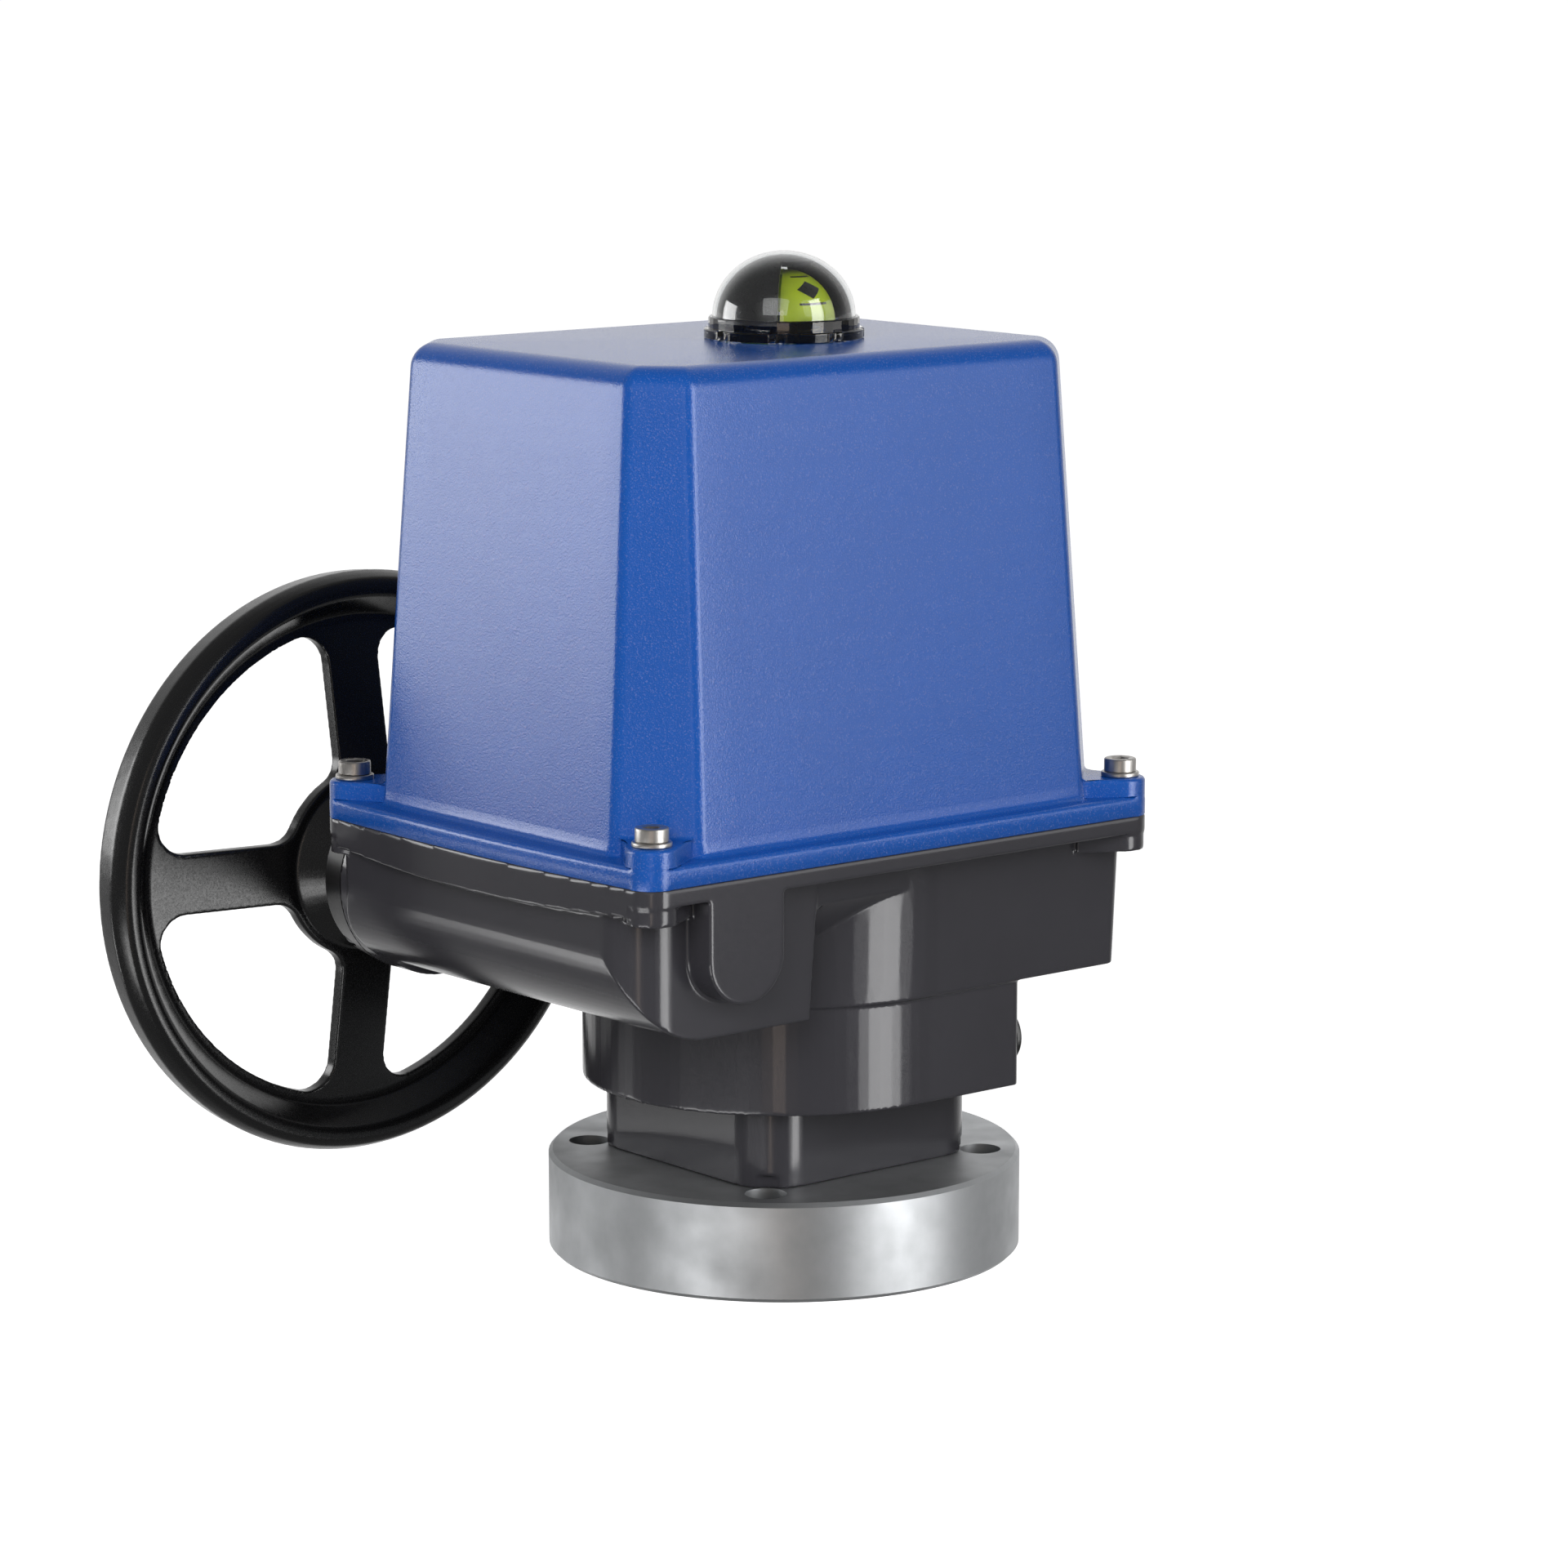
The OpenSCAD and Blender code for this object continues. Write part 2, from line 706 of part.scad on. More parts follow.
module housing_rim() {
  side_h = band_side_h + band_sag;
  half = rim_half_y - rim_r - over;
  arc_r = (half * half + band_sag * band_sag) / (2 * band_sag);
  translate([0, 0, z_part - band_h]) linear_extrude(band_h) rim_outline();
  intersection() {
    translate([0, 0, z_part - side_h]) linear_extrude(side_h - band_h) rim_bow_plan();
    along_x(-rim_left - rim_bow - over, rim_bow + rim_r + 2 * over)
      intersection() {
        translate([rim_mid_y, z_part - side_h + arc_r]) circle(arc_r, $fn = 180);
        translate([rim_mid_y - half, z_part - side_h]) square([2 * half, side_h]);
      }
  }
  for (i = [0, 1], j = [0, 1])
    translate([0, 0, z_part - boss_h]) linear_extrude(boss_h - band_h) lug_plan(i, j);
}

module gear_housing() color([0.26, 0.26, 0.28]) {
  groove_t = 2;
  difference() {
    union() {
      neck();
      collar();
      tray();
      notch_fillet();
      worm_block();
      cap_boss();
      pad();
      housing_rim();
    }
    // Seat of the gearbox plate and the two gear chambers below it
    translate([0, 0, z_plate]) linear_extrude(plate_t + over) eight_plan(6);
    translate([0, 0, z_wheel - 8]) cylinder(r = chamber_r, h = tray_h, $fn = 96);
    translate([0, 0, z_floor]) cylinder(r = lower_chamber_r, h = tray_h, $fn = 96);
    worm_chamber();
    wiring_pocket();
    // Bore of the neck with its seal and bush
    translate([0, 0, z_neck - over]) cylinder(r = shaft_r + bush_t + fit_gap, h = z_floor);
    // Bearing bores of the worm
    along_y(front_bearing, bearing_w + over) translate([worm_x, z_worm]) circle(bearing_r + fit_gap);
    along_y(rear_bearing, cap_seat) translate([worm_x, z_worm]) circle(bearing_r + fit_gap);
    along_y(front_bearing - 4, 5) translate([worm_x, z_worm]) circle(worm_shaft_r + 2);
    // Holes of the screws
    at_cover_screws()
      translate([0, 0, z_part - boss_h - over])
        cylinder(r = cover_screw_d / 2 + fit_gap, h = boss_h + 2 * over);
    for (a = [45:90:315])
      rotate(a)
        translate([flange_screw_pcd / 2, 0, z_neck - over])
          cylinder(r = flange_screw_d / 2 + fit_gap, h = flange_screw_l - flange_t + 12 + 2 + over);
    at_end_cap_screws(cap_seat - 14, 14 + over) circle(2.5 + fit_gap);
    at_plate_screws() translate([0, 0, z_plate - 10]) cylinder(r = 2 + fit_gap, h = 10 + over);
    // Bores of the stop screws, each with a flat seat for its plug
    for (y = [-1, 1]) {
      along_x(0, collar_end + over) translate([y * stop_off, z_stop]) circle(stop_screw_d / 2 + fit_gap);
      along_x(collar_end, plug_r) translate([y * stop_off, z_stop]) circle(plug_r + pass_gap);
    }
    at_glands() translate([0, 0, -wall - 4]) cylinder(r = gland_d / 2 + fit_gap, h = wall + 5);
    // Groove of the cover's gasket
    translate([0, 0, z_part - groove_t])
      linear_extrude(groove_t + over)
        difference() {
          eight_plan(0);
          eight_plan(3.4);
        }
  }
}

module worm_chamber() {
  r = worm_tip_r + 0.9;
  length = rear_bearing - chamber_front;
  along_y(chamber_front - eps, length + 2 * eps) {
    translate([worm_x, z_worm]) circle(r);
    translate([worm_x - 0.5 * r, z_worm + 0.2 * r]) square([1.48 * r, z_part - z_worm]);
  }
  along_y(gear_front - 1.5, spur_w + 3)
    translate([idler_x, idler_z]) circle(idler_r + spur_module + 1.5);
}

// The pocket behind the cable glands, open to the electrical compartment
module wiring_pocket() {
  low = z_tray + wall + tray_taper;
  translate([0, 0, low])
    linear_extrude(tray_h)
      difference() {
        round_rect([pocket_left, 0], [pocket_right, tray_back - wall - tray_taper], pocket_r);
        circle(chamber_wall_r + 0.6, $fn = 96);
      }
}

module at_glands() {
  mid = (pocket_left + pocket_right) / 2 + pocket_r;
  for (i = [-1, 1])
    translate([mid + i * gland_pitch / 2, tray_back, z_worm - 1]) rotate([-90, 0, 0]) children();
}

// The screw circle of the worm's end cap, as prisms along Y
module at_end_cap_screws(y0, length) {
  for (a = [45:90:315])
    along_y(y0, length)
      translate([worm_x + (cap_r - 5.5) * cos(a), z_worm + (cap_r - 5.5) * sin(a)]) children();
}

module at_plate_screws() {
  a = rim_left - cover_ledge - 10;
  b = rim_right - cover_ledge - 11;
  c = rim_front - cover_ledge - 11;
  d = rim_back - cover_ledge - 10;
  for (p = [[-a, 50], [-a, -40], [b - 12, -c], [-20, d], [-40, -c]]) translate([p[0], p[1], 0]) children();
}

// Deck over the gears, which carries the motor and the electrical parts
module gearbox_plate() color([0.68, 0.7, 0.72])
  difference() {
    translate([0, 0, z_plate]) linear_extrude(plate_t) eight_plan(6.3);
    translate([0, 0, z_plate - over]) {
      cylinder(r = top_journal_r + bush_t + fit_gap, h = plate_t + 2 * over);
      at_plate_screws() cylinder(r = 2.3, h = plate_t + 2 * over);
      at_bracket_screws() cylinder(r = 2 + fit_gap, h = plate_t + 2 * over);
      at_standoffs() cylinder(r = 1.5 + fit_gap, h = plate_t + 2 * over);
      // Slot for the idler gear and the cable opening above the wiring pocket
      translate([idler_x - idler_r - 2, gear_front - 2, 0])
        cube([2 * idler_r + 4, spur_w + 4 - 1, plate_t + 2 * over]);
      translate([pocket_right - 19, slot_y, 0]) cube([slot_w, slot_l, plate_t + 2 * over]);
    }
  }

module plate_screws() color([0.6, 0.6, 0.62])
  at_plate_screws() translate([0, 0, z_part]) pan_screw(2, 10);

// A slotted pan head screw along -Z, with the underside of its head at the origin
module pan_screw(r, length) {
  difference() {
    union() {
      cylinder(r = 1.9 * r, h = 1.2 * r);
      translate([0, 0, -length]) cylinder(r = r, h = length + eps);
    }
    translate([-2 * r, -0.2 * r, 0.6 * r]) cube([4 * r, 0.4 * r, r]);
  }
}

// Cover
module cover_shell(inset, low, top_drop, edge_r) {
  lean = tan(cover_draft);
  top = z_top - top_drop;
  foot = eight(inset + edge_r, cover_cut);
  head = eight(inset + edge_r + lean * (top - z_part - cover_rim_h), cover_cut);
  hull() {
    for (p = foot) translate([p[0], p[1], low]) cylinder(r = edge_r, h = eps, $fn = hull_fn);
    for (p = head) translate([p[0], p[1], top - edge_r]) sphere(edge_r, $fn = hull_fn);
  }
}

module housing_cover() color([0.12, 0.35, 0.71]) {
  inner_r = cover_edge_r - cover_wall;
  difference() {
    union() {
      cover_shell(0, z_part + cover_rim_h - over, 0, cover_edge_r);
      translate([0, 0, z_part]) linear_extrude(cover_rim_h) rim_outline();
      for (i = [0, 1], j = [0, 1])
        translate([0, 0, z_part + cover_rim_h]) linear_extrude(lug_h - cover_rim_h) lug_plan(i, j);
    }
    cover_shell(cover_wall, z_part - over, cover_wall, inner_r);
    at_cover_screws() translate([0, 0, z_part - over]) cylinder(r = cover_screw_d / 2 + 0.3, h = 2 * lug_h);
    translate([0, 0, z_top - 2 * cover_wall]) cylinder(r = dome_neck_r + 0.2, h = 3 * cover_wall);
  }
}

module cover_screws() color([0.75, 0.74, 0.72])
  at_cover_screws()
    translate([0, 0, z_part + lug_h + washer_t]) socket_screw(cover_screw_d, cover_screw_l);

module cover_washers() color([0.75, 0.74, 0.72])
  at_cover_screws()
    translate([0, 0, z_part + lug_h])
      difference() {
        cylinder(d = washer_d, h = washer_t);
        translate([0, 0, -over]) cylinder(r = cover_screw_d / 2 + 0.2, h = washer_t + 2 * over);
      }

module cover_gasket() color([0.08, 0.08, 0.08])
  translate([0, 0, z_part - 2])
    linear_extrude(2)
      difference() {
        eight_plan(0.1);
        eight_plan(3.3);
      }

// Position indicator
module indicator_dome() color([0.85, 0.9, 0.92, 0.35]) {
  inner = dome_r - dome_wall;
  inner_rise = dome_rise - dome_wall;
  rotate_extrude($fn = 96)
    polygon(concat(
      [[dome_neck_r - dome_wall, z_dome - 12], [dome_neck_r, z_dome - 12], [dome_neck_r, z_dome],
       [dome_ring_r, z_dome], [dome_ring_r, z_dome + dome_ring_h], [dome_band_r, z_dome + dome_ring_h],
       [dome_band_r, z_dome_mid]],
      [for (a = [0:5:85]) [dome_r * cos(a), z_dome_mid + dome_rise * sin(a)]],
      [[0, z_dome_mid + dome_rise * sin(85)], [0, z_dome_mid + inner_rise * sin(85)]],
      [for (a = [85:-5:0]) [inner * cos(a), z_dome_mid + inner_rise * sin(a)]],
      [[inner, z_dome + dome_ring_h], [dome_neck_r - dome_wall, z_dome + 1]]
    ));
}

module dome_seal() color([0.05, 0.05, 0.05])
  translate([0, 0, z_top - cover_wall - 1.5])
    difference() {
      cylinder(r = dome_neck_r + 4, h = 1.5 - fit_gap);
      translate([0, 0, -over]) cylinder(r = dome_neck_r + 0.1, h = 2 + 2 * over);
    }

module dome_nut() color([0.2, 0.2, 0.2])
  translate([0, 0, z_top - cover_wall - 1.5 - 4])
    difference() {
      cylinder(r = dome_neck_r + 5, h = 4 - fit_gap, $fn = 12);
      translate([0, 0, -over]) cylinder(r = dome_neck_r + 0.1, h = 4 + 2 * over);
    }

// Drum halves: two opposite quarters each of a thin dome on the indicator shaft
module drum_quarters(turn) {
  t = 1.6;
  intersection() {
    rotate_extrude($fn = 96)
      polygon(concat(
        [[drum_r - t, z_drum]],
        [for (a = [0:6:78]) [drum_r * cos(a), z_drum + 1 + (drum_r - 1) * sin(a)]],
        [[(drum_r - t) * cos(78), z_drum + 1 + (drum_r - t - 1) * sin(78)]],
        [for (a = [72:-6:0]) [(drum_r - t) * cos(a), z_drum + 1 + (drum_r - t - 1) * sin(a)]]
      ));
    for (a = [turn, turn + 180])
      rotate(a)
        rotate([0, 0, 45])
          translate([fit_gap, fit_gap, z_drum - over]) cube([drum_r + over, drum_r + over, drum_r + 2 * over]);
  }
}

module indicator_black() color([0.07, 0.07, 0.07]) {
  drum_quarters(90);
  difference() {
    translate([0, 0, z_drum + 0.2]) cylinder(r = drum_r - 1.7, h = 2.2);
    translate([0, 0, z_drum - over]) cylinder(r = stem_r + fit_gap, h = 6);
  }
}

module indicator_yellow() color([0.72, 0.8, 0.08]) drum_quarters(0);

module indicator_shaft() color([0.7, 0.7, 0.72]) {
  translate([0, 0, z_part + 3 + 8]) cylinder(r = stem_r, h = z_drum + 3 - z_part - 11);
  translate([0, 0, z_part + 3 - 12]) cylinder(r = 4, h = 24);
}

// Output shaft train
module output_shaft() color([0.6, 0.62, 0.65])
  difference() {
    union() {
      translate([0, 0, z_shaft]) cylinder(r = shaft_r, h = z_sector - z_shaft);
      translate([0, 0, z_floor + 2.2]) cylinder(r = shaft_r + 5, h = z_sector - z_floor - 2.2);
      translate([0, 0, z_sector - eps]) cylinder(r = seat_r, h = z_top_journal - z_sector);
      translate([0, 0, z_top_journal - eps]) cylinder(r = top_journal_r, h = z_part + 3 - z_top_journal);
    }
    translate([-socket_w / 2, -socket_w / 2, z_shaft - over]) cube([socket_w, socket_w, socket_depth + over]);
    translate([0, 0, z_part + 3 - 13]) cylinder(r = 4 + fit_gap, h = 14);
    key_space(z_sector, z_hub + key_off());
    translate([0, 0, z_part + 1]) ring_groove();
  }

// Distance from the hub's underside to the top of its keyway
function key_off() = 12 + wheel_w;

// The keyway along the gear seat, on the +X side of the shaft
module key_space(low, high)
  translate([seat_r - key_h / 2 - fit_gap, -key_w / 2 - fit_gap, low])
    cube([key_h / 2 + over, key_w + 2 * fit_gap, high - low + eps]);

module ring_groove()
  difference() {
    cylinder(r = top_journal_r + over, h = 1.2);
    translate([0, 0, -over]) cylinder(r = top_journal_r - 1, h = 4);
  }

module worm_wheel() color([0.72, 0.55, 0.25]) {
  rim_in = wheel_root_r - 7;
  hub_h = wheel_w + 12;
  low_r = wheel_pitch_r - 0.3 * worm_module;
  high_r = wheel_pitch_r + 0.4 * worm_module;
  steps = [wheel_root_r, low_r, high_r, wheel_tip_r + 0.4];
  difference() {
    union() {
      translate([0, 0, z_wheel])
        difference() {
          cylinder(r = wheel_tip_r, h = wheel_w, $fn = 96);
          for (z = [-over, wheel_w / 2 + 4])
            translate([0, 0, z])
              difference() {
                cylinder(r = rim_in, h = wheel_w / 2 - 4 + over, $fn = 96);
                cylinder(r = wheel_hub_r, h = wheel_w);
              }
        }
      translate([0, 0, z_hub]) cylinder(r = wheel_hub_r, h = hub_h - eps);
    }
    translate([0, 0, z_hub - over]) cylinder(r = seat_r + fit_gap, h = hub_h + 2 * over);
    translate([0, -key_w / 2 - fit_gap, z_hub - over])
      cube([seat_r + key_h / 2 + fit_gap, key_w + 2 * fit_gap, hub_h + 2 * over]);
    for (i = [0:wheel_teeth - 1])
      rotate(i * 360 / wheel_teeth)
        translate([wheel_pitch_r, 0, z_worm])
          rotate([-lead_angle, 0, 0])
            translate([-wheel_pitch_r, 0, -wheel_w])
              linear_extrude(2 * wheel_w)
                polygon(concat(
                  [for (r = steps) let (a = tooth_gap(r)) r * [cos(a), -sin(a)]],
                  [for (k = [3:-1:0]) let (a = tooth_gap(steps[k])) steps[k] * [cos(a), sin(a)]]
                ));
  }
}

// Half angle of the gap between two teeth of the worm wheel at radius r
function tooth_gap(r) = 180 / wheel_teeth - tooth_half(worm_module, wheel_teeth, r);

module wheel_key() color([0.5, 0.5, 0.52])
  translate([seat_r - key_h / 2, -key_w / 2, z_hub + 1]) cube([key_h - fit_gap, key_w, wheel_w + 10]);

module sector_key() color([0.5, 0.5, 0.52])
  translate([seat_r - key_h / 2, -key_w / 2, z_sector + 0.5]) cube([key_h - fit_gap, key_w, sector_t - 1]);

// Quarter sector that meets the stop screws at the two ends of the travel
module stop_sector() color([0.5, 0.5, 0.53]) {
  r = lower_chamber_r - 1;
  boss_top = z_hub - z_sector - fit_gap;
  difference() {
    translate([0, 0, z_sector]) {
      cylinder(r = seat_r + 8, h = boss_top);
      linear_extrude(sector_t)
        intersection() {
          circle(r, $fn = 96);
          translate([-r - over, 0]) square([r + over, r + over]);
        }
    }
    translate([0, 0, z_sector - over]) cylinder(r = seat_r + fit_gap, h = boss_top + 2 * over);
    translate([0, -key_w / 2 - fit_gap, z_sector - over])
      cube([seat_r + key_h / 2 + fit_gap, key_w + 2 * fit_gap, boss_top + 2 * over]);
  }
}

module retaining_ring() color([0.4, 0.4, 0.42])
  translate([0, 0, z_part + 1 + fit_gap])
    difference() {
      cylinder(r = top_journal_r + 2.5, h = 1.1);
      translate([0, 0, -over]) cylinder(r = top_journal_r - 0.9, h = 4);
      translate([-3, 0, -over]) cube([6, 30, 4]);
    }

module ring_between(inner, outer, low, h) {
  translate([0, 0, low])
    difference() {
      cylinder(r = outer, h = h);
      translate([0, 0, -over]) cylinder(r = inner, h = h + 2 * over);
    }
}

module neck_bush() color([0.65, 0.5, 0.25])
  ring_between(shaft_r + run_gap, shaft_r + bush_t, z_neck + 0.5, z_floor - z_neck - 1);

module plate_bush() color([0.65, 0.5, 0.25]) {
  low = z_top_journal + pass_gap;
  ring_between(top_journal_r + run_gap, top_journal_r + bush_t, low, z_part - low);
}

module shaft_seal() color([0.06, 0.06, 0.06])
  ring_between(shaft_r + run_gap, shaft_r + 7 - fit_gap, z_neck - 7 + fit_gap, 7 - 2 * fit_gap);

module thrust_washer() color([0.65, 0.5, 0.25])
  ring_between(shaft_r + run_gap, shaft_r + 6, z_floor, 2);

// Stop screws and their outer plugs
module stop_screws() color([0.55, 0.55, 0.57])
  for (y = [-1, 1])
    translate([0, y * stop_off, z_stop])
      rotate([0, 90, 0])
        difference() {
          union() {
            translate([0, 0, 0.3]) cylinder(r = stop_tip_r, h = 8);
            translate([0, 0, 8]) cylinder(d = stop_screw_d, h = collar_end - 8 - 7);
          }
          translate([0, 0, collar_end - 11]) cylinder(r = 2.5, h = 6, $fn = 6);
        }

module stop_plugs() color([0.05, 0.05, 0.05])
  for (y = [-1, 1])
    translate([collar_end, y * stop_off, z_stop])
      rotate([0, 90, 0])
        difference() {
          union() {
            translate([0, 0, -6]) cylinder(d = stop_screw_d, h = 6 + eps);
            cylinder(r = plug_r, h = plug_t);
            translate([0, 0, plug_t - eps]) cylinder(r1 = 0.62 * plug_r, r2 = 0.2 * plug_r, h = plug_head_h);
          }
          translate([-plug_slot / 2, -plug_r, plug_t + 0.2]) cube([plug_slot, 2 * plug_r, plug_head_h]);
        }

// Worm shaft, its bearings and end cap
module worm_shaft() color([0.6, 0.62, 0.65])
  translate([worm_x, 0, z_worm])
    rotate([-90, 0, 0])
      difference() {
        union() {
          translate([0, 0, front_bearing])
            cylinder(r = worm_shaft_r, h = rear_bearing + bearing_w - front_bearing);
          translate([0, 0, -worm_l / 2]) cylinder(r = worm_seat_r, h = worm_l + eps);
          translate([0, 0, worm_l / 2]) cylinder(r = worm_seat_r + 3, h = rear_bearing - worm_l / 2 - 0.3);
          translate([0, 0, rear_bearing + bearing_w - eps])
            cylinder(r = worm_shaft_r - 0.5, h = cap_face - rear_bearing - bearing_w);
          translate([0, 0, cap_face - 2 * eps]) cylinder(r = hub_bore_r, h = hub_end - cap_face - 1);
        }
        translate([-worm_key_w / 2 - fit_gap, worm_seat_r - worm_key_w / 2, -worm_l / 2 - over])
          cube([worm_key_w + 2 * fit_gap, worm_key_w, worm_l + over]);
        translate([0, 0, hub_end + wheel_washer_t - wheel_screw_l - 6])
          cylinder(r = wheel_screw_d / 2 + fit_gap, h = wheel_screw_l + 12);
        translate([-2.5 - fit_gap, hub_bore_r - 2.5, hub_front + 3])
          cube([5 + 2 * fit_gap, 5, hub_l]);
      }

// Worm sleeve, keyed to its shaft
module worm() color([0.5, 0.48, 0.45])
  translate([worm_x, 0, z_worm])
    rotate([-90, 0, 0]) {
      difference() {
        translate([0, 0, -worm_l / 2]) cylinder(r = worm_root_r, h = worm_l - fit_gap);
        translate([0, 0, -worm_l / 2 - over]) cylinder(r = worm_seat_r + fit_gap, h = worm_l + 2 * over);
        translate([-worm_key_w / 2 - fit_gap, 0, -worm_l / 2 - over])
          cube([worm_key_w + 2 * fit_gap, worm_seat_r + worm_key_w / 2 + fit_gap, worm_l + 2 * over]);
      }
      worm_thread();
    }

module worm_key() color([0.5, 0.5, 0.52])
  translate([worm_x - worm_key_w / 2, -worm_l / 2 + 1, z_worm - worm_seat_r - worm_key_w / 2])
    cube([worm_key_w, worm_l - 2, worm_key_w - fit_gap]);

// Right-handed thread along the local Z axis, which is the world's +Y.
// Its crest faces the worm wheel at the middle of its length.
module worm_thread() {
  steps = 20;
  turns = worm_l / worm_pitch - 1.2;
  count = round(turns * steps);
  pitch_w = worm_pitch / 2 - backlash / 2;
  slope = tan(press_angle);
  tip_w = pitch_w - 2 * (worm_tip_r - worm_r) * slope;
  deep = worm_root_r - 0.6;
  deep_w = pitch_w + 2 * (worm_r - deep) * slope;
  ends = 4;
  points = [
    for (i = [0:count])
      let (
        a = (i - count / 2) * 360 / steps,
        z = (i - count / 2) * worm_pitch / steps,
        rise = min(1, min(i, count - i) / ends),
        tip = deep + (worm_tip_r - deep) * max(0.1, rise)
      )
      each [
        [deep * cos(a), deep * sin(a), z - deep_w / 2],
        [tip * cos(a), tip * sin(a), z - tip_w / 2],
        [tip * cos(a), tip * sin(a), z + tip_w / 2],
        [deep * cos(a), deep * sin(a), z + deep_w / 2]
      ]
  ];
  faces = concat(
    [[3, 2, 1, 0]],
    [
      for (i = [0:count - 1], k = [0:3])
        let (a = 4 * i + k, b = 4 * i + (k + 1) % 4)
        each [[a, b, a + 4], [b, b + 4, a + 4]]
    ],
    [[4 * count, 4 * count + 1, 4 * count + 2, 4 * count + 3]]
  );
  polyhedron(points, faces);
}

module worm_bearings() color([0.62, 0.63, 0.65])
  for (y = [front_bearing, rear_bearing])
    translate([worm_x, y, z_worm])
      rotate([-90, 0, 0])
        difference() {
          cylinder(r = bearing_r, h = bearing_w - 0.1);
          translate([0, 0, -over]) cylinder(r = worm_shaft_r + run_gap, h = bearing_w + 2 * over);
          for (z = [-over, bearing_w - 1])
            translate([0, 0, z])
              difference() {
                cylinder(r = bearing_r - 3.5, h = 0.9 + over);
                translate([0, 0, -over]) cylinder(r = worm_shaft_r + 3, h = 2 + 3 * over);
              }
        }

module worm_end_cap() color([0.06, 0.06, 0.06])
  difference() {
    translate([worm_x, 0, z_worm])
      rotate([-90, 0, 0])
        difference() {
          union() {
            translate([0, 0, cap_seat]) cylinder(r1 = cap_r, r2 = cap_r - 1.5, h = cap_t);
            translate([0, 0, rear_bearing + bearing_w])
              cylinder(r = bearing_r, h = cap_seat - rear_bearing - bearing_w + eps);
          }
          translate([0, 0, rear_bearing]) cylinder(r = worm_shaft_r + pass_gap, h = cap_face);
          translate([0, 0, cap_face - 7]) cylinder(r = worm_shaft_r + 5 + fit_gap, h = 8);
        }
    at_end_cap_screws(cap_seat - over, cap_t + 2 * over) circle(2.7);
    at_end_cap_screws(cap_face - 5.2, 6) circle(4.7);
  }

module end_cap_screws() color([0.3, 0.3, 0.32]) {
  at_end_cap_screws(cap_seat - 12, cap_t + 7) circle(2.5);
  at_end_cap_screws(cap_face - 5.2, 5) circle(4.2);
}

module worm_seal() color([0.1, 0.1, 0.1])
  translate([worm_x, cap_face - 7 + fit_gap, z_worm])
    rotate([-90, 0, 0])
      difference() {
        cylinder(r = worm_shaft_r + 5, h = 6.5);
        translate([0, 0, -over]) cylinder(r = worm_shaft_r - 0.5 + run_gap, h = 8 + over);
      }

module worm_gear() color([0.6, 0.6, 0.62])
  translate([worm_x, 0, z_worm]) {
    along_y(gear_front, spur_w)
      difference() {
        rotate(idler_dir) gear_outline(spur_module, worm_gear_teeth);
        circle(worm_shaft_r + fit_gap);
      }
    along_y(gear_front + spur_w - eps, -worm_l / 2 - gear_front - spur_w)
      difference() {
        circle(worm_shaft_r + 4);
        circle(worm_shaft_r + fit_gap);
      }
  }

// Handwheel, drawn around the local Z axis, which is the world's +Y
module wheel_window() {
  inner = hub_plate_r;
  outer = wheel_r - rim_w - 1;
  difference() {
    intersection() {
      circle(outer, $fn = 96);
      translate([1, 1] * spoke_w / 2) square(outer);
    }
    circle(inner, $fn = 96);
    window_corners(inner, outer);
    mirror([1, -1]) window_corners(inner, outer);
  }
}

// The waste of the two rounded corners along one side of a window
module window_corners(inner, outer) {
  x = spoke_w / 2 + window_r;
  high = [x, sqrt((outer - window_r) * (outer - window_r) - x * x)];
  low = [x, sqrt((inner + window_r) * (inner + window_r) - x * x)];
  side = spoke_w / 2 - over;
  difference() {
    polygon([high, [side, high[1]], [side, outer + over], high * (outer + over) / (outer - window_r)]);
    translate(high) circle(window_r);
  }
  difference() {
    polygon([low, [side, low[1]], [side, 0], low * (inner - over) / (inner + window_r)]);
    translate(low) circle(window_r);
  }
}

module handwheel() color([0.05, 0.05, 0.05])
  translate([worm_x, 0, z_worm])
    rotate([-90, 0, 0])
      difference() {
        union() {
          wheel_rim();
          wheel_web();
          translate([0, 0, hub_front]) cylinder(r = hub_r, h = hub_end - hub_front);
          translate([0, 0, plate_y - 9]) cylinder(r1 = hub_r - eps, r2 = hub_plate_r - 3, h = 9 + eps);
        }
        translate([0, 0, hub_front - over]) cylinder(r = hub_bore_r + fit_gap, h = hub_end);
        translate([-2.5 - fit_gap, 0, hub_front - over]) cube([5 + 2 * fit_gap, hub_bore_r + 2.6, hub_end]);
      }

// Level of the web's front face at radius r
function web_y(r) = plate_y + dish * (r - hub_plate_r) / (wheel_r - rim_w - hub_plate_r);

module wheel_web() {
  r2 = wheel_r - rim_w + 2;
  difference() {
    rotate_extrude($fn = 96)
      polygon([
        [hub_bore_r, plate_y], [hub_plate_r, plate_y], [r2, web_y(r2)],
        [r2, web_y(r2) + spoke_t], [hub_plate_r, plate_y + spoke_t], [hub_bore_r, plate_y + spoke_t]
      ]);
    for (a = [0:90:270])
      rotate(a) translate([0, 0, plate_y - over]) linear_extrude(dish + spoke_t + 3 * over) wheel_window();
  }
}

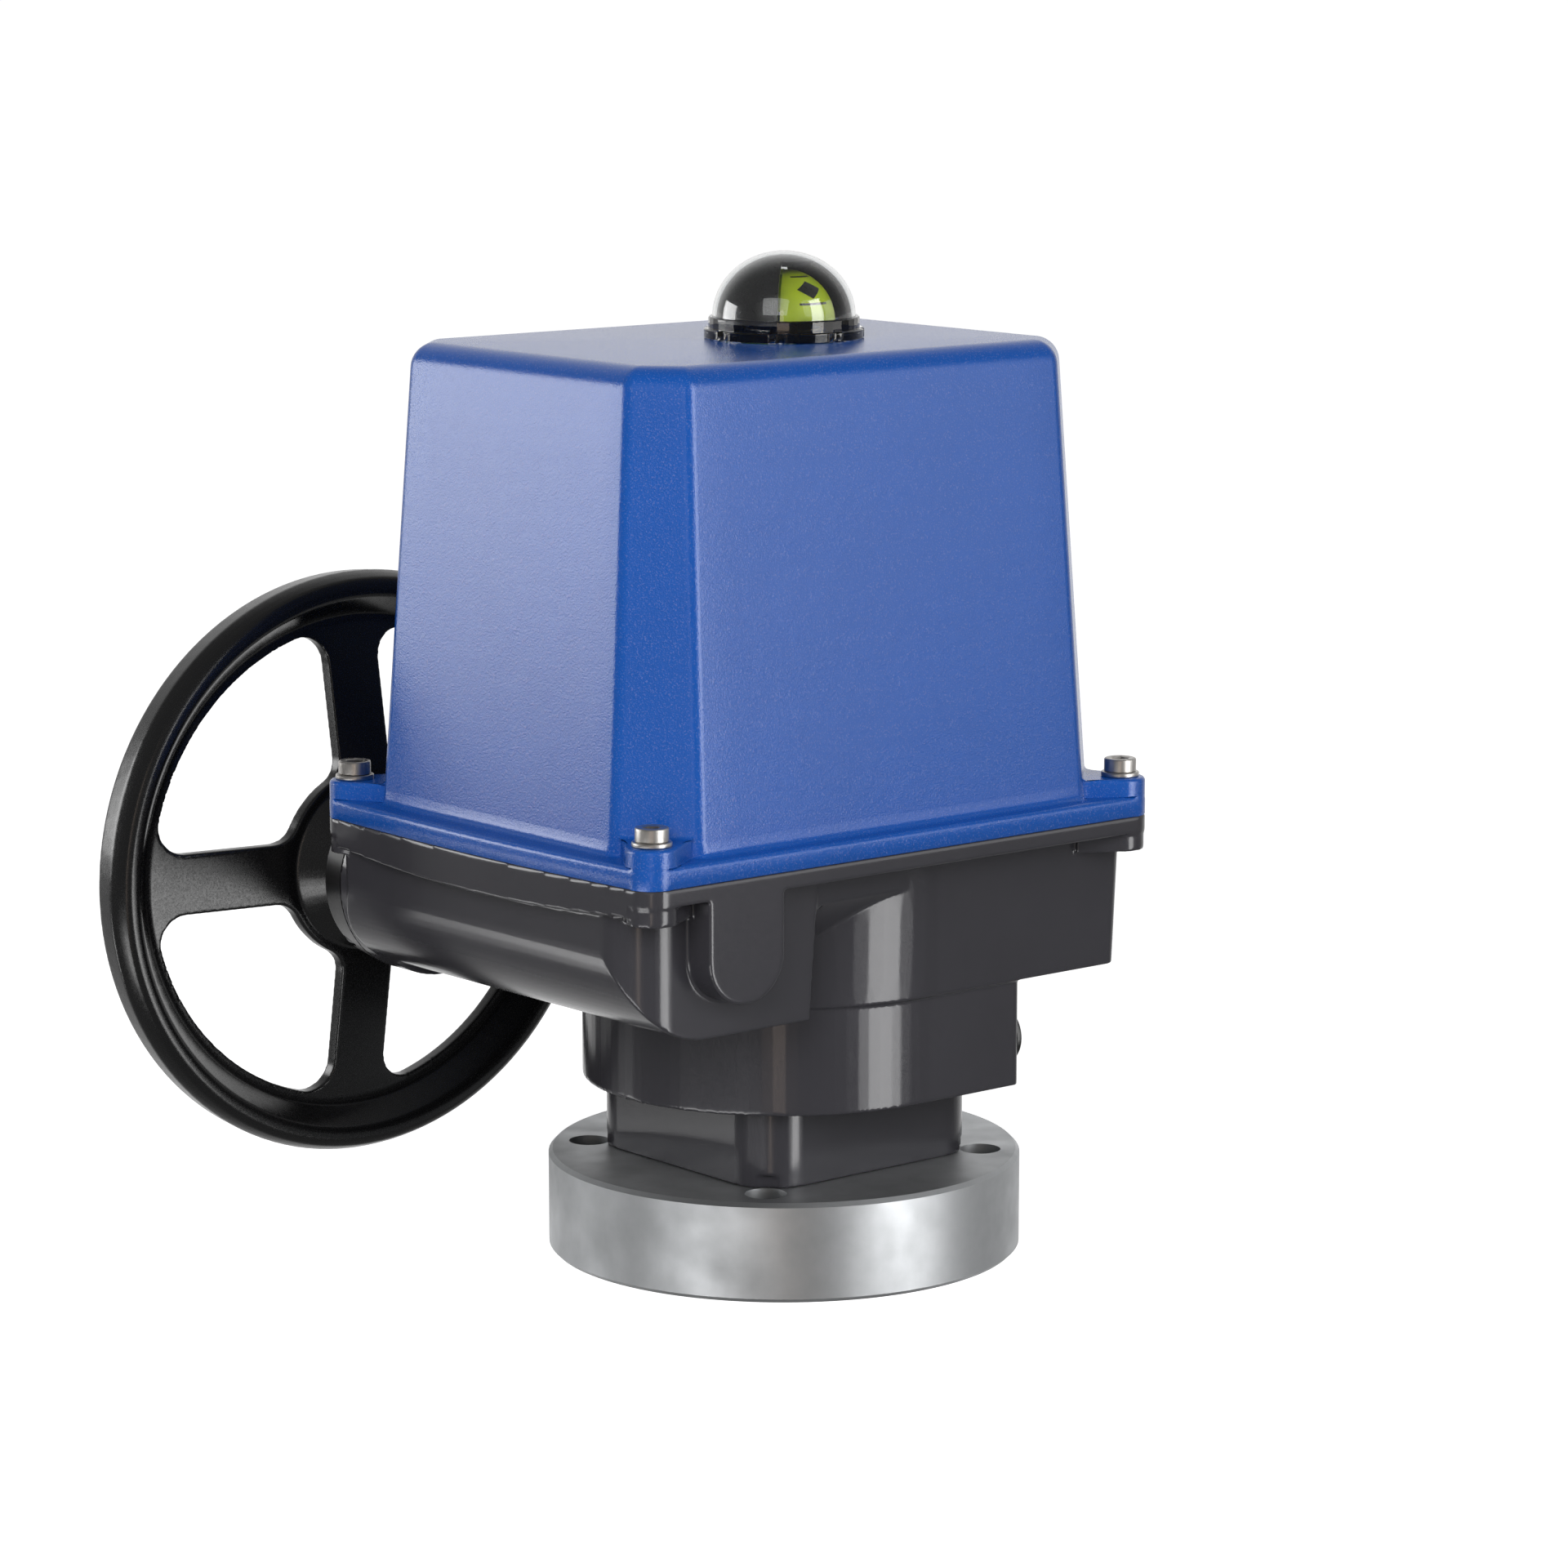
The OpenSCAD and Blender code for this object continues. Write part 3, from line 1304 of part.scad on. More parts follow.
module wheel_rim() {
  back = web_y(wheel_r - rim_w) + spoke_t + 1;
  front = back - rim_depth;
  inner = wheel_r - rim_w;
  rotate_extrude($fn = 144)
    polygon([
      [inner, web_y(inner)], [inner + 2.5, web_y(inner) - 0.3],
      [wheel_r - 8.2, front + 1], [wheel_r - 6.6, front], [wheel_r - 3.9, front], [wheel_r - 2, front + 1.1],
      [wheel_r - 0.8, front + 3.6], [wheel_r, front + 6], [wheel_r - 0.8, back - 1.5], [wheel_r - 2.3, back],
      [inner + 1.5, back], [inner, back - 1.5]
    ]);
}

module handwheel_key() color([0.5, 0.5, 0.52])
  translate([worm_x - 2.5, hub_front + 3.2, z_worm - hub_bore_r - 2.5])
    cube([5, hub_l - 0.4, 5 - fit_gap]);

module handwheel_washer() color([0.72, 0.72, 0.72])
  translate([worm_x, hub_end, z_worm])
    rotate([-90, 0, 0])
      difference() {
        cylinder(r = wheel_washer_r, h = wheel_washer_t);
        translate([0, 0, -over]) cylinder(r = wheel_screw_d / 2 + 0.2, h = wheel_washer_t + 2 * over);
      }

module handwheel_screw() color([0.72, 0.72, 0.72])
  translate([worm_x, hub_end + wheel_washer_t, z_worm])
    rotate([-90, 0, 0]) socket_screw(wheel_screw_d, wheel_screw_l);

// Gear train and motor
module at_bracket_screws()
  for (x = [idler_x - bracket_screw_left, idler_x + bracket_screw_mid, motor_x + bracket_screw_right])
    translate([x, bracket_face + bracket_t + (bracket_foot_l + 1) / 2, 0]) children();

module gear_bracket() color([0.7, 0.71, 0.72]) {
  low = z_deck;
  high = motor_z + bracket_rise;
  left = idler_x - bracket_left;
  right = motor_x + bracket_right;
  difference() {
    union() {
      along_y(bracket_face, bracket_t)
        round_rect([left, low - 2], [right, high], 6);
      translate([left + 2, bracket_face + over, low])
        cube([right - left - 4, bracket_t + bracket_foot_l, bracket_foot_t]);
    }
    translate([left - over, bracket_face - over, low - 4])
      cube([right - left + 2 * over, bracket_t + 2 * over, 4]);
    along_y(bracket_face - over, bracket_t + 2 * over) {
      translate([motor_x, motor_z]) circle(12.1);
      translate([idler_x, idler_z]) circle(pin_r + fit_gap);
    }
    at_bracket_screws() translate([0, 0, low - over]) cylinder(r = 2.3, h = bracket_foot_t + 2 * over);
  }
}

module bracket_screws() color([0.6, 0.6, 0.62])
  at_bracket_screws() translate([0, 0, z_deck + bracket_foot_t]) pan_screw(2, 2 * bracket_foot_t);

module idler_pin() color([0.6, 0.6, 0.62])
  translate([idler_x, gear_front - 2, idler_z])
    rotate([-90, 0, 0]) {
      cylinder(r = pin_r, h = bracket_face + bracket_t - gear_front + 2);
      cylinder(r = pin_r + 2, h = 1.5);
    }

module idler_gear() color([0.62, 0.6, 0.55])
  translate([idler_x, 0, idler_z]) {
    along_y(gear_front, spur_w)
      difference() {
        rotate(idler_turn) gear_outline(spur_module, idler_teeth);
        circle(pin_r + run_gap);
        for (a = [30:60:330]) rotate(a) translate([idler_r * 0.58, 0]) circle(4);
      }
    along_y(gear_front + spur_w - eps, 1.5)
      difference() {
        circle(pin_r + 3);
        circle(pin_r + run_gap);
      }
  }

module motor_pinion() color([0.6, 0.6, 0.62])
  translate([motor_x, 0, motor_z]) {
    along_y(gear_front, spur_w) rotate(pinion_turn) gear_outline(spur_module, pinion_teeth);
    along_y(gear_front + spur_w - eps, bracket_face + bracket_t + 6 - gear_front - spur_w)
      circle(motor_shaft_r);
  }

module motor_gearhead() color([0.66, 0.67, 0.68])
  translate([motor_x, 0, motor_z])
    difference() {
      union() {
        along_y(bracket_face + bracket_t, gearhead_l)
          round_rect([-1, -1] * (motor_r - 3), [1, 1] * (motor_r - 3), 6);
        along_y(bracket_face, bracket_t + over) circle(12);
      }
      along_y(bracket_face - over, bracket_t + 10) circle(motor_shaft_r + pass_gap);
    }

module motor_body() color([0.1, 0.1, 0.11]) {
  y0 = bracket_face + bracket_t + gearhead_l;
  translate([motor_x, 0, motor_z]) {
    along_y(y0, motor_l) circle(motor_r);
    along_y(y0 + 6, motor_l - 18)
      for (a = [0:15:345]) rotate(a) translate([motor_r - 1, -0.8]) square([1.8, 1.6]);
    along_y(y0 + motor_l - eps, 4) circle(motor_r - 8);
  }
}

// Electrical parts
module switch_bracket() color([0.7, 0.71, 0.72])
  difference() {
    union() {
      translate([switch_back, -switch_plate_w / 2, z_deck]) {
        cube([switch_plate_t, switch_plate_w, z_cams + 2 * switch_h + 5 - z_deck]);
        cube([switch_foot_l, switch_plate_w, switch_plate_t]);
      }
    }
    for (y = [-10, 10]) translate([switch_back + 9, y, z_deck - over]) cylinder(r = 2, h = 4);
  }

module limit_switches() color([0.12, 0.12, 0.13])
  for (z = [z_cams, z_cams + switch_h + 2])
    difference() {
      union() {
        translate([switch_back - switch_depth, -switch_w / 2, z])
          cube([switch_depth - fit_gap, switch_w, switch_h - 1]);
        translate([cam_r + 0.8, -1.5, z + switch_h / 2 - 2])
          cube([switch_back - switch_depth + 1 - cam_r - 0.8, 3, 3]);
      }
      for (y = [-10, 10])
        translate([switch_back - switch_depth / 2, y, z - over]) cylinder(r = 1.5, h = switch_h + 2 * over);
    }

module switch_cams() color([0.75, 0.2, 0.15])
  for (i = [0, 1])
    translate([0, 0, z_cams + i * (switch_h + 2)])
      difference() {
        union() {
          cylinder(r = cam_r - 3, h = switch_h - 1);
          linear_extrude(switch_h - 4)
            intersection() {
              circle(cam_r);
              rotate(95 + 90 * i) square(cam_r + over);
            }
        }
        translate([0, 0, -over]) cylinder(r = stem_r + fit_gap, h = switch_h + 2 * over);
      }

module at_standoffs()
  for (x = [4, board_l - 4], y = [4, board_w - 4])
    translate([board_x + x, board_y + y, 0]) children();

module board_standoffs() color([0.75, 0.65, 0.35])
  at_standoffs() {
    translate([0, 0, z_deck]) cylinder(r = 3, h = standoff_h, $fn = 6);
    translate([0, 0, z_plate + 0.2]) cylinder(r = 1.5, h = plate_t);
    translate([0, 0, z_deck + standoff_h - eps]) cylinder(r = 1.5, h = 4);
  }

module control_board() color([0.08, 0.35, 0.18])
  difference() {
    translate([board_x, board_y, z_deck + standoff_h]) cube([board_l, board_w, board_t]);
    at_standoffs() translate([0, 0, z_deck + standoff_h - over]) cylinder(r = 1.6, h = 4);
  }

module terminal_blocks() color([0.15, 0.35, 0.2])
  translate([board_x + 8, board_y + board_w - terminal_w - 4, z_deck + standoff_h + board_t])
    difference() {
      cube([board_l - 16, terminal_w, terminal_h]);
      for (x = [2.5:5:board_l - 20]) {
        translate([x, terminal_w / 2, terminal_h / 2]) cylinder(r = 1.6, h = terminal_h / 2 + over);
        translate([x - 1.6, terminal_w - 3, 1.5]) cube([3.2, 4, 3.5]);
      }
    }

module relays() color([0.12, 0.25, 0.5])
  for (x = [9, 9 + relay_pitch])
    translate([board_x + x, board_y + 9, z_deck + standoff_h + board_t]) cube([relay_w, relay_w, relay_h]);

module capacitor() color([0.75, 0.76, 0.78])
  translate([capacitor_x, -capacitor_y, z_deck]) {
    cylinder(r = capacitor_r, h = capacitor_h - 2);
    translate([0, 0, capacitor_h - 2 - eps]) cylinder(r1 = capacitor_r, r2 = capacitor_r - 2, h = 2);
    for (x = [-5, 5]) translate([x - 3, -0.4, capacitor_h - eps]) cube([6, 0.8, 7]);
  }

module heater() color([0.7, 0.6, 0.3])
  translate([4, -heater_y, z_deck])
    difference() {
      cube([heater_l, heater_w, heater_w]);
      for (y = [-over, heater_w - 3], z = [3:3:heater_w - 2])
        translate([-over, y, z]) cube([heater_l + 2 * over, 3 + over, 1.4]);
    }

// Cable entries in the tray's rear wall
module cable_glands() color([0.08, 0.08, 0.08])
  at_glands()
    difference() {
      union() {
        translate([0, 0, -wall - 3]) cylinder(d = gland_d, h = wall + 3 + eps);
        cylinder(r = gland_d / 2 + 3.6, h = 6, $fn = 6);
        translate([0, 0, 6 - eps]) cylinder(r = gland_d / 2 - 1, h = 8);
      }
      translate([0, 0, -wall - 4]) cylinder(r = gland_d / 2 - 3.5, h = wall + 30);
    }

module gland_nuts() color([0.08, 0.08, 0.08])
  at_glands()
    difference() {
      union() {
        translate([0, 0, 6.1]) cylinder(r = gland_d / 2 + 3.4, h = gland_nut_h, $fn = 6);
        translate([0, 0, gland_nut_h + 6]) cylinder(r1 = gland_d / 2 + 1.4, r2 = gland_d / 2 - 2, h = 5);
      }
      translate([0, 0, 5]) cylinder(r = gland_d / 2 - 1 + fit_gap, h = gland_nut_h + 0.1);
      translate([0, 0, 5]) cylinder(r = gland_d / 2 - 3.5, h = 20);
    }

module gland_plugs() color([0.7, 0.1, 0.08])
  at_glands() {
    top = gland_nut_h + 11;
    translate([0, 0, top - gland_plug_l])
      cylinder(r = gland_d / 2 - 3.5 - fit_gap, h = gland_plug_l + eps);
    translate([0, 0, top + eps / 2]) cylinder(r = gland_d / 2 - 2.2, h = 1.5);
  }

base_flange();
flange_screws();
gear_housing();
gearbox_plate();
plate_screws();
housing_cover();
cover_screws();
cover_washers();
cover_gasket();
indicator_dome();
dome_seal();
dome_nut();
stop_screws();
stop_plugs();
neck_bush();
plate_bush();
shaft_seal();
thrust_washer();
worm_bearings();
worm_end_cap();
end_cap_screws();
worm_seal();
gear_bracket();
bracket_screws();
idler_pin();
motor_gearhead();
motor_body();
switch_bracket();
limit_switches();
control_board();
board_standoffs();
terminal_blocks();
relays();
capacitor();
heater();
cable_glands();
gland_nuts();
gland_plugs();
output_shaft();
worm_wheel();
wheel_key();
stop_sector();
sector_key();
retaining_ring();
indicator_shaft();
switch_cams();
indicator_black();
indicator_yellow();
worm_shaft();
worm();
worm_key();
worm_gear();
handwheel();
handwheel_key();
handwheel_washer();
handwheel_screw();
idler_gear();
motor_pinion();
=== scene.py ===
"""Dresses the quarter-turn valve actuator: castings, cover, indicator, fasteners and studio."""

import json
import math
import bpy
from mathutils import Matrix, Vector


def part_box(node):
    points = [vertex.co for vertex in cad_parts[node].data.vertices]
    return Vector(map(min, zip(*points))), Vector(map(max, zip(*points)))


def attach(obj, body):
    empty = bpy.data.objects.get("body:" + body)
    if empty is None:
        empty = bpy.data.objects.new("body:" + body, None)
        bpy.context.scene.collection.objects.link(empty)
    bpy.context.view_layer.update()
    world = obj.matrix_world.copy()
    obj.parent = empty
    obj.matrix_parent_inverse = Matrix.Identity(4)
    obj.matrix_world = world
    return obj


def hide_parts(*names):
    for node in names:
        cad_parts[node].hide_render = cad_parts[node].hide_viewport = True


bl_info = {
    "name": "Valve Actuator Dressing",
    "version": (1, 0, 0),
    "blender": (4, 5, 0),
    "location": "3D View > Sidebar > Actuator",
    "description": "Builds the finished surfaces of a valve actuator around its packed model",
    "category": "Object",
}

import bmesh
import bpy
from bpy.props import FloatProperty, FloatVectorProperty, IntProperty, PointerProperty
from mathutils import Matrix, Vector

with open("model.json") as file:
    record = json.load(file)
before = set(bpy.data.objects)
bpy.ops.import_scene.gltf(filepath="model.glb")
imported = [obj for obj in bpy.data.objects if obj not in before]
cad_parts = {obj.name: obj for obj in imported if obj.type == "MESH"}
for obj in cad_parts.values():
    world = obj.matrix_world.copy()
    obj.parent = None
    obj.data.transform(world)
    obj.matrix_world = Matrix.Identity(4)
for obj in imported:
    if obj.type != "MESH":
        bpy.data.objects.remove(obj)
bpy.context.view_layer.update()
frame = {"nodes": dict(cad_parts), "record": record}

MM = 0.001
BODY = "actuator_body"
OUTPUT = "output_drive"
WORM = "worm_drive"


def box_mm(node):
    """Lowest and highest corner of a CAD node, in millimetres."""
    low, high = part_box(node)
    return low / MM, high / MM


def linear(red, green, blue):
    """A colour written as 0 to 255 screen values, as the linear values that a shader takes."""
    def one(value):
        share = value / 255
        return share / 12.92 if share <= 0.04045 else ((share + 0.055) / 1.055) ** 2.4

    return one(red), one(green), one(blue)


def length(name, description, default):
    """A size in millimetres that a user may change."""
    return FloatProperty(name=name, description=description, default=default, min=0.0)


def number(name, description, default):
    """A plain number that a user may change."""
    return FloatProperty(name=name, description=description, default=default)


def colour(name, description, *screen):
    """A finish's colour that a user may change."""
    return FloatVectorProperty(
        name=name, description=description, default=linear(*screen),
        subtype="COLOR", min=0.0, max=1.0)


class CoverSizes(bpy.types.PropertyGroup):
    """Sizes of the blue cover, in millimetres."""

    ledge: length("Ledge", "From the rim's edge to the foot of the walls", 6.4)
    draft: number("Draft", "Lean of the walls, in degrees", 4.0)
    cut: length("Corner cut", "Side of the flat cut on the upright corners, at the foot", 18.8)
    rim_height: length("Rim height", "Height of the rim above the parting plane", 6.5)
    rim_corner: length("Rim corner", "Radius of the rim's corners, concentric with the screws", 8.0)
    rim_edge: length("Rim edge", "Radius along the rim's upper edge", 1.7)
    rim_bow: length("Rim bow", "How far the rim's left side bows out", 2.8)
    lug_height: length("Lug height", "Height of the screw lugs above the parting plane", 12.0)
    lug_step: length("Lug step", "How far the lugs stand back from the rim's corners", 0.1)
    lug_foot: length("Lug foot", "Width of a lug where it meets the wall", 20.2)
    lug_edge: length("Lug edge", "Radius along a lug's upper edge", 1.3)
    foot_fillet: length("Foot fillet", "Radius between the walls and the rim", 2.6)
    upright_edge: length("Upright edge", "Radius of the upright edges", 5.5)
    top_edge: length("Top edge", "Radius along the top", 7.2)
    wall: length("Wall", "Thickness of the walls", 4.0)
    hole: length("Dome hole", "Radius of the hole that takes the indicator dome", 18.8)


class CastingSizes(bpy.types.PropertyGroup):
    """How the cast pieces get their soft edges."""

    housing_voxel: length("Housing grid", "Cell of the grid that rounds the gear housing", 0.5)
    wheel_voxel: length("Wheel grid", "Cell of the grid that rounds the handwheel", 0.5)
    kept: number("Kept faces", "Share of the grid's faces that is kept", 0.22)
    housing_passes: IntProperty(name="Housing passes", description="Rounds of smoothing", default=4)
    wheel_passes: IntProperty(name="Wheel passes", description="Rounds of smoothing", default=9)


class IndicatorSizes(bpy.types.PropertyGroup):
    """Sizes of the domed indicator, in millimetres."""

    wall: length("Wall", "Thickness of the clear dome", 0.9)
    ring_radius: length("Lower ring", "Radius of the lower ring", 24.9)
    ring_height: length("Lower ring height", "Height of the lower ring", 3.2)
    band_radius: length("Upper ring", "Radius of the upper ring", 23.5)
    band_height: length("Upper ring height", "Height of the upper ring", 3.6)
    dome_radius: length("Dome", "Radius of the dome at its foot", 22.3)
    neck_radius: length("Neck", "Radius of the neck through the cover", 18.6)
    notch: length("Notch", "Depth of the grip notches in the lower ring", 0.9)
    drum_wall: length("Drum wall", "Thickness of the drum's shell", 1.6)
    drum_gap: length("Drum gap", "Between the black dome of the drum and the clear dome", 0.35)
    cap_tilt: number("Cap", "Lowest tilt of the black cap over the yellow, in degrees", 64.0)
    mark: length("Mark", "Width of the printed lines on the drum", 0.7)


class FastenerSizes(bpy.types.PropertyGroup):
    """Sizes of the screws, washers and plugs in sight, in millimetres."""

    thread: length("Thread", "Diameter of the cover screws", 6.0)
    head_radius: length("Head", "Radius of a screw's head", 5.04)
    socket: length("Socket", "Radius of the hexagon socket over its corners", 2.9)
    socket_depth: length("Socket depth", "Depth of the hexagon socket", 2.0)
    head_height: length("Head height", "Height of a low socket head", 4.2)
    head_edge: length("Head edge", "Radius along a head's upper edge", 0.6)
    washer_radius: length("Washer", "Radius of a washer", 6.0)
    washer_edge: length("Washer edge", "Radius along a washer's edges", 0.45)
    plug_edge: length("Plug edge", "Radius along a plug's disc", 0.8)
    plug_slot: length("Plug slot", "Width of the slot in a plug's head", 1.6)


class FinishColours(bpy.types.PropertyGroup):
    """Colours of the finishes."""

    cover: colour("Cover", "Powder coat of the cover", 14, 86, 178)
    housing: colour("Housing", "Coat of the gear housing", 60, 59, 64)
    wheel: colour("Wheel", "Coat of the handwheel", 14, 14, 15)
    flange: colour("Flange", "Turned steel of the flange", 180, 182, 184)
    screws: colour("Screws", "Stainless screws and washers", 190, 187, 183)
    yellow: colour("Yellow", "Yellow quarters of the indicator", 184, 206, 22)
    black: colour("Black", "Black plastic", 16, 16, 17)


class StudioSizes(bpy.types.PropertyGroup):
    """Camera and light."""

    azimuth: number("Azimuth", "Camera azimuth in degrees", -39.854)
    elevation: number("Elevation", "Camera elevation in degrees", 9.97)
    distance: length("Distance", "From the aim point to the camera", 1594.4)
    aim_height: length("Aim height", "Height of the aim point on the output axis", 147.93)
    lens: number("Lens", "Focal length on a 36 mm sensor", 116.28)
    key: number("Key light", "Brightness of the large key light", 3.3)
    fill: number("Fill light", "Brightness of the fill light on the front", 2.0)
    strip: number("Strip light", "Brightness of the tall strip light, in gloss", 5.4)
    side: number("Side light", "Brightness of the two side lights, in gloss", 4.5)
    warm: number("Warm strip", "Brightness of the narrow warm light, in gloss", 1.6)
    low: number("Low light", "Brightness of the light that the flange shows", 4.0)
    sheen: number("Sheen", "Brightness of the sheen on the cover's front", 1.3)
    ambient: number("Ambient", "Strength of the even light", 0.14)
    room: number("Room", "Brightness of the room behind the camera, in gloss", 0.22)


def settings():
    """The add-on's settings, held on the scene."""
    return bpy.context.scene.actuator_dressing


class ActuatorDressing(bpy.types.PropertyGroup):
    """All settings of the dressing."""

    cover: PointerProperty(type=CoverSizes)
    casting: PointerProperty(type=CastingSizes)
    indicator: PointerProperty(type=IndicatorSizes)
    fasteners: PointerProperty(type=FastenerSizes)
    finish: PointerProperty(type=FinishColours)
    studio: PointerProperty(type=StudioSizes)


# Mesh helpers

def arc(x, y, radius, start, end, steps):
    """Points along an arc, from start to end in degrees."""
    turns = [math.radians(start + (end - start) * i / steps) for i in range(steps + 1)]
    return [(x + radius * math.cos(t), y + radius * math.sin(t)) for t in turns]


def quarter(steps):
    """Angles from 0 to 90 degrees, in radians."""
    return [math.radians(90 * i / steps) for i in range(steps + 1)]


def loft(bm, rings, start=None, end=None, loop=False):
    """Joins rings of equal count, and closes the ends on a point or on each other."""
    made = [[bm.verts.new(Vector(p) * MM) for p in ring] for ring in rings]
    count = len(made[0])
    pairs = list(zip(made, made[1:])) + ([(made[-1], made[0])] if loop else [])
    for low, high in pairs:
        for i in range(count):
            j = (i + 1) % count
            bm.faces.new((low[i], low[j], high[j], high[i]))
    if start is not None:
        tip = bm.verts.new(Vector(start) * MM)
        for i in range(count):
            bm.faces.new((made[0][(i + 1) % count], made[0][i], tip))
    if end is not None:
        tip = bm.verts.new(Vector(end) * MM)
        for i in range(count):
            bm.faces.new((made[-1][i], made[-1][(i + 1) % count], tip))
def circle_ring(radius, height, steps, place=Matrix()):
    """One ring of a turned piece; radius may be a function of the angle."""
    ring = []
    for i in range(steps):
        turn = 2 * math.pi * i / steps
        r = radius(turn) if callable(radius) else radius
        ring.append(place @ Vector((r * math.cos(turn), r * math.sin(turn), height)))
    return ring
def faceted(radius, sides):
    """The radius of a regular polygon as a function of the angle; radius is at its corners."""
    side = 2 * math.pi / sides
    flat = radius * math.cos(side / 2)
    return lambda turn: flat / math.cos(turn % side - side / 2)


def turned_solid(bm, profile, steps, place):
    """Turns a profile of (radius, height) points around the local Z axis.

    The points run from the bottom centre outwards and up. The first and last lie on the axis."""
    rings = [circle_ring(r, z, steps, place) for r, z in profile[1:-1]]
    tips = [place @ Vector((0, 0, profile[n][1])) for n in (0, -1)]
    loft(bm, rings, start=tips[0], end=tips[1])


def close_plate(bm, outer, inner):
    """Closes two grids of vertices, given as columns, into one plate."""
    columns, rows = len(outer) - 1, len(outer[0]) - 1
    for i in range(columns):
        j = i + 1
        for low in range(rows):
            high = low + 1
            bm.faces.new((outer[i][low], outer[j][low], outer[j][high], outer[i][high]))
            bm.faces.new((inner[i][high], inner[j][high], inner[j][low], inner[i][low]))
        bm.faces.new((outer[j][0], outer[i][0], inner[i][0], inner[j][0]))
        bm.faces.new((outer[i][rows], outer[j][rows], inner[j][rows], inner[i][rows]))
    for low in range(rows):
        high = low + 1
        bm.faces.new((outer[0][low], outer[0][high], inner[0][high], inner[0][low]))
        bm.faces.new((outer[-1][high], outer[-1][low], inner[-1][low], inner[-1][high]))


def mesh_of(bm, name, sharp=35):
    """The finished mesh, smooth but for edges sharper than the given angle."""
    bmesh.ops.recalc_face_normals(bm, faces=bm.faces)
    mesh = bpy.data.meshes.new(name)
    bm.to_mesh(mesh)
    bm.free()
    mesh.shade_smooth()
    mesh.set_sharp_from_angle(angle=math.radians(sharp))
    return mesh


def add_piece(name, mesh, body, slot, *nodes):
    """Puts a finished piece into the scene in place of the CAD nodes that it stands for."""
    piece = bpy.data.objects.new(name, mesh)
    bpy.context.scene.collection.objects.link(piece)
    mesh.materials.clear()
    mesh.materials.append(material_of(slot))
    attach(piece, body)
    if nodes:
        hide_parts(*nodes)
    return piece


def cut(piece, tool):
    """Takes the tool's volume out of a piece, and deletes the tool."""
    holder = bpy.data.objects.new("cutter", tool)
    bpy.context.scene.collection.objects.link(holder)
    modifier = piece.modifiers.new("cut", "BOOLEAN")
    modifier.operation = "DIFFERENCE"
    modifier.solver = "EXACT"
    modifier.object = holder
    graph = bpy.context.evaluated_depsgraph_get()
    result = bpy.data.meshes.new_from_object(piece.evaluated_get(graph))
    piece.modifiers.clear()
    old = piece.data
    piece.data = result
    bpy.data.meshes.remove(old)
    bpy.data.objects.remove(holder)
    bpy.data.meshes.remove(tool)


# Materials

class Tree:
    """A node tree, built step by step."""

    def __init__(self, tree):
        self.tree = tree
        tree.nodes.clear()

    def add(self, kind, **values):
        """A node with its sockets or properties set."""
        node = self.tree.nodes.new(kind)
        for key, value in values.items():
            if key in node.inputs:
                node.inputs[key].default_value = value
            else:
                setattr(node, key, value)
        return node

    def feed(self, source, target):
        """Feeds a socket from another one, or with a value of its own."""
        if isinstance(source, bpy.types.NodeSocket):
            self.tree.links.new(source, target)
        else:
            target.default_value = source

    def range(self, source, low, high, start=0.3, stop=0.7, **values):
        """Maps a source's range, by default a texture's middle one, to values from low to high."""
        node = self.add("ShaderNodeMapRange", **values)
        ends = {"From Min": start, "From Max": stop, "To Min": low, "To Max": high}
        for socket, end in ends.items():
            node.inputs[socket].default_value = end
        self.feed(source, node.inputs["Value"])
        return node.outputs["Result"]

    def math(self, operation, first, second):
        """A sum, product or the like of two values."""
        node = self.add("ShaderNodeMath", operation=operation)
        self.feed(first, node.inputs[0])
        self.feed(second, node.inputs[1])
        return node.outputs["Value"]

    def between(self, factor, low, high):
        """A value between two."""
        node = self.add("ShaderNodeMix", data_type="FLOAT")
        self.feed(factor, node.inputs["Factor"])
        self.feed(low, node.inputs["A"])
        self.feed(high, node.inputs["B"])
        return node.outputs["Result"]


class Finish(Tree):
    """A material's node tree around one Principled shader."""

    def __init__(self, name):
        self.material = bpy.data.materials.new(name)
        self.material.use_nodes = True
        super().__init__(self.material.node_tree)
        self.shader = self.add("ShaderNodeBsdfPrincipled")
        output = self.add("ShaderNodeOutputMaterial")
        self.feed(self.shader.outputs["BSDF"], output.inputs["Surface"])
        self.place = self.add("ShaderNodeTexCoord").outputs["Object"]

    def noise(self, size, detail=3.0, place=None):
        """Noise whose features are about size millimetres across."""
        node = self.add("ShaderNodeTexNoise", Scale=1 / (size * MM), Detail=detail)
        self.feed(place or self.place, node.inputs["Vector"])
        return node.outputs["Fac"]

    def blend(self, factor, dark, light):
        """A colour between two, by a texture; the first may come from another node."""
        node = self.add("ShaderNodeMix", data_type="RGBA")
        first, second = [s for s in node.inputs if s.type == "RGBA"]
        self.feed((*dark, 1) if isinstance(dark, tuple) else dark, first)
        self.feed((*light, 1), second)
        self.feed(factor, node.inputs["Factor"])
        return next(s for s in node.outputs if s.type == "RGBA")

    def relief(self, source, depth, over=None):
        """A bump of depth millimetres, laid over another where one is given."""
        node = self.add("ShaderNodeBump", Strength=1.0, Distance=depth * MM)
        self.feed(source, node.inputs["Height"])
        if over:
            self.feed(over, node.inputs["Normal"])
        return node.outputs["Normal"]

    def surface(self, tint, roughness, relief, metallic=0.0):
        """The material, with its shader fed."""
        self.feed(tint, self.shader.inputs["Base Color"])
        self.feed(roughness, self.shader.inputs["Roughness"])
        self.feed(relief, self.shader.inputs["Normal"])
        self.feed(metallic, self.shader.inputs["Metallic"])
        return self.material


def shade(tint, share):
    """A colour made lighter or darker by a share."""
    return tuple(min(1.0, c * share) for c in tint)


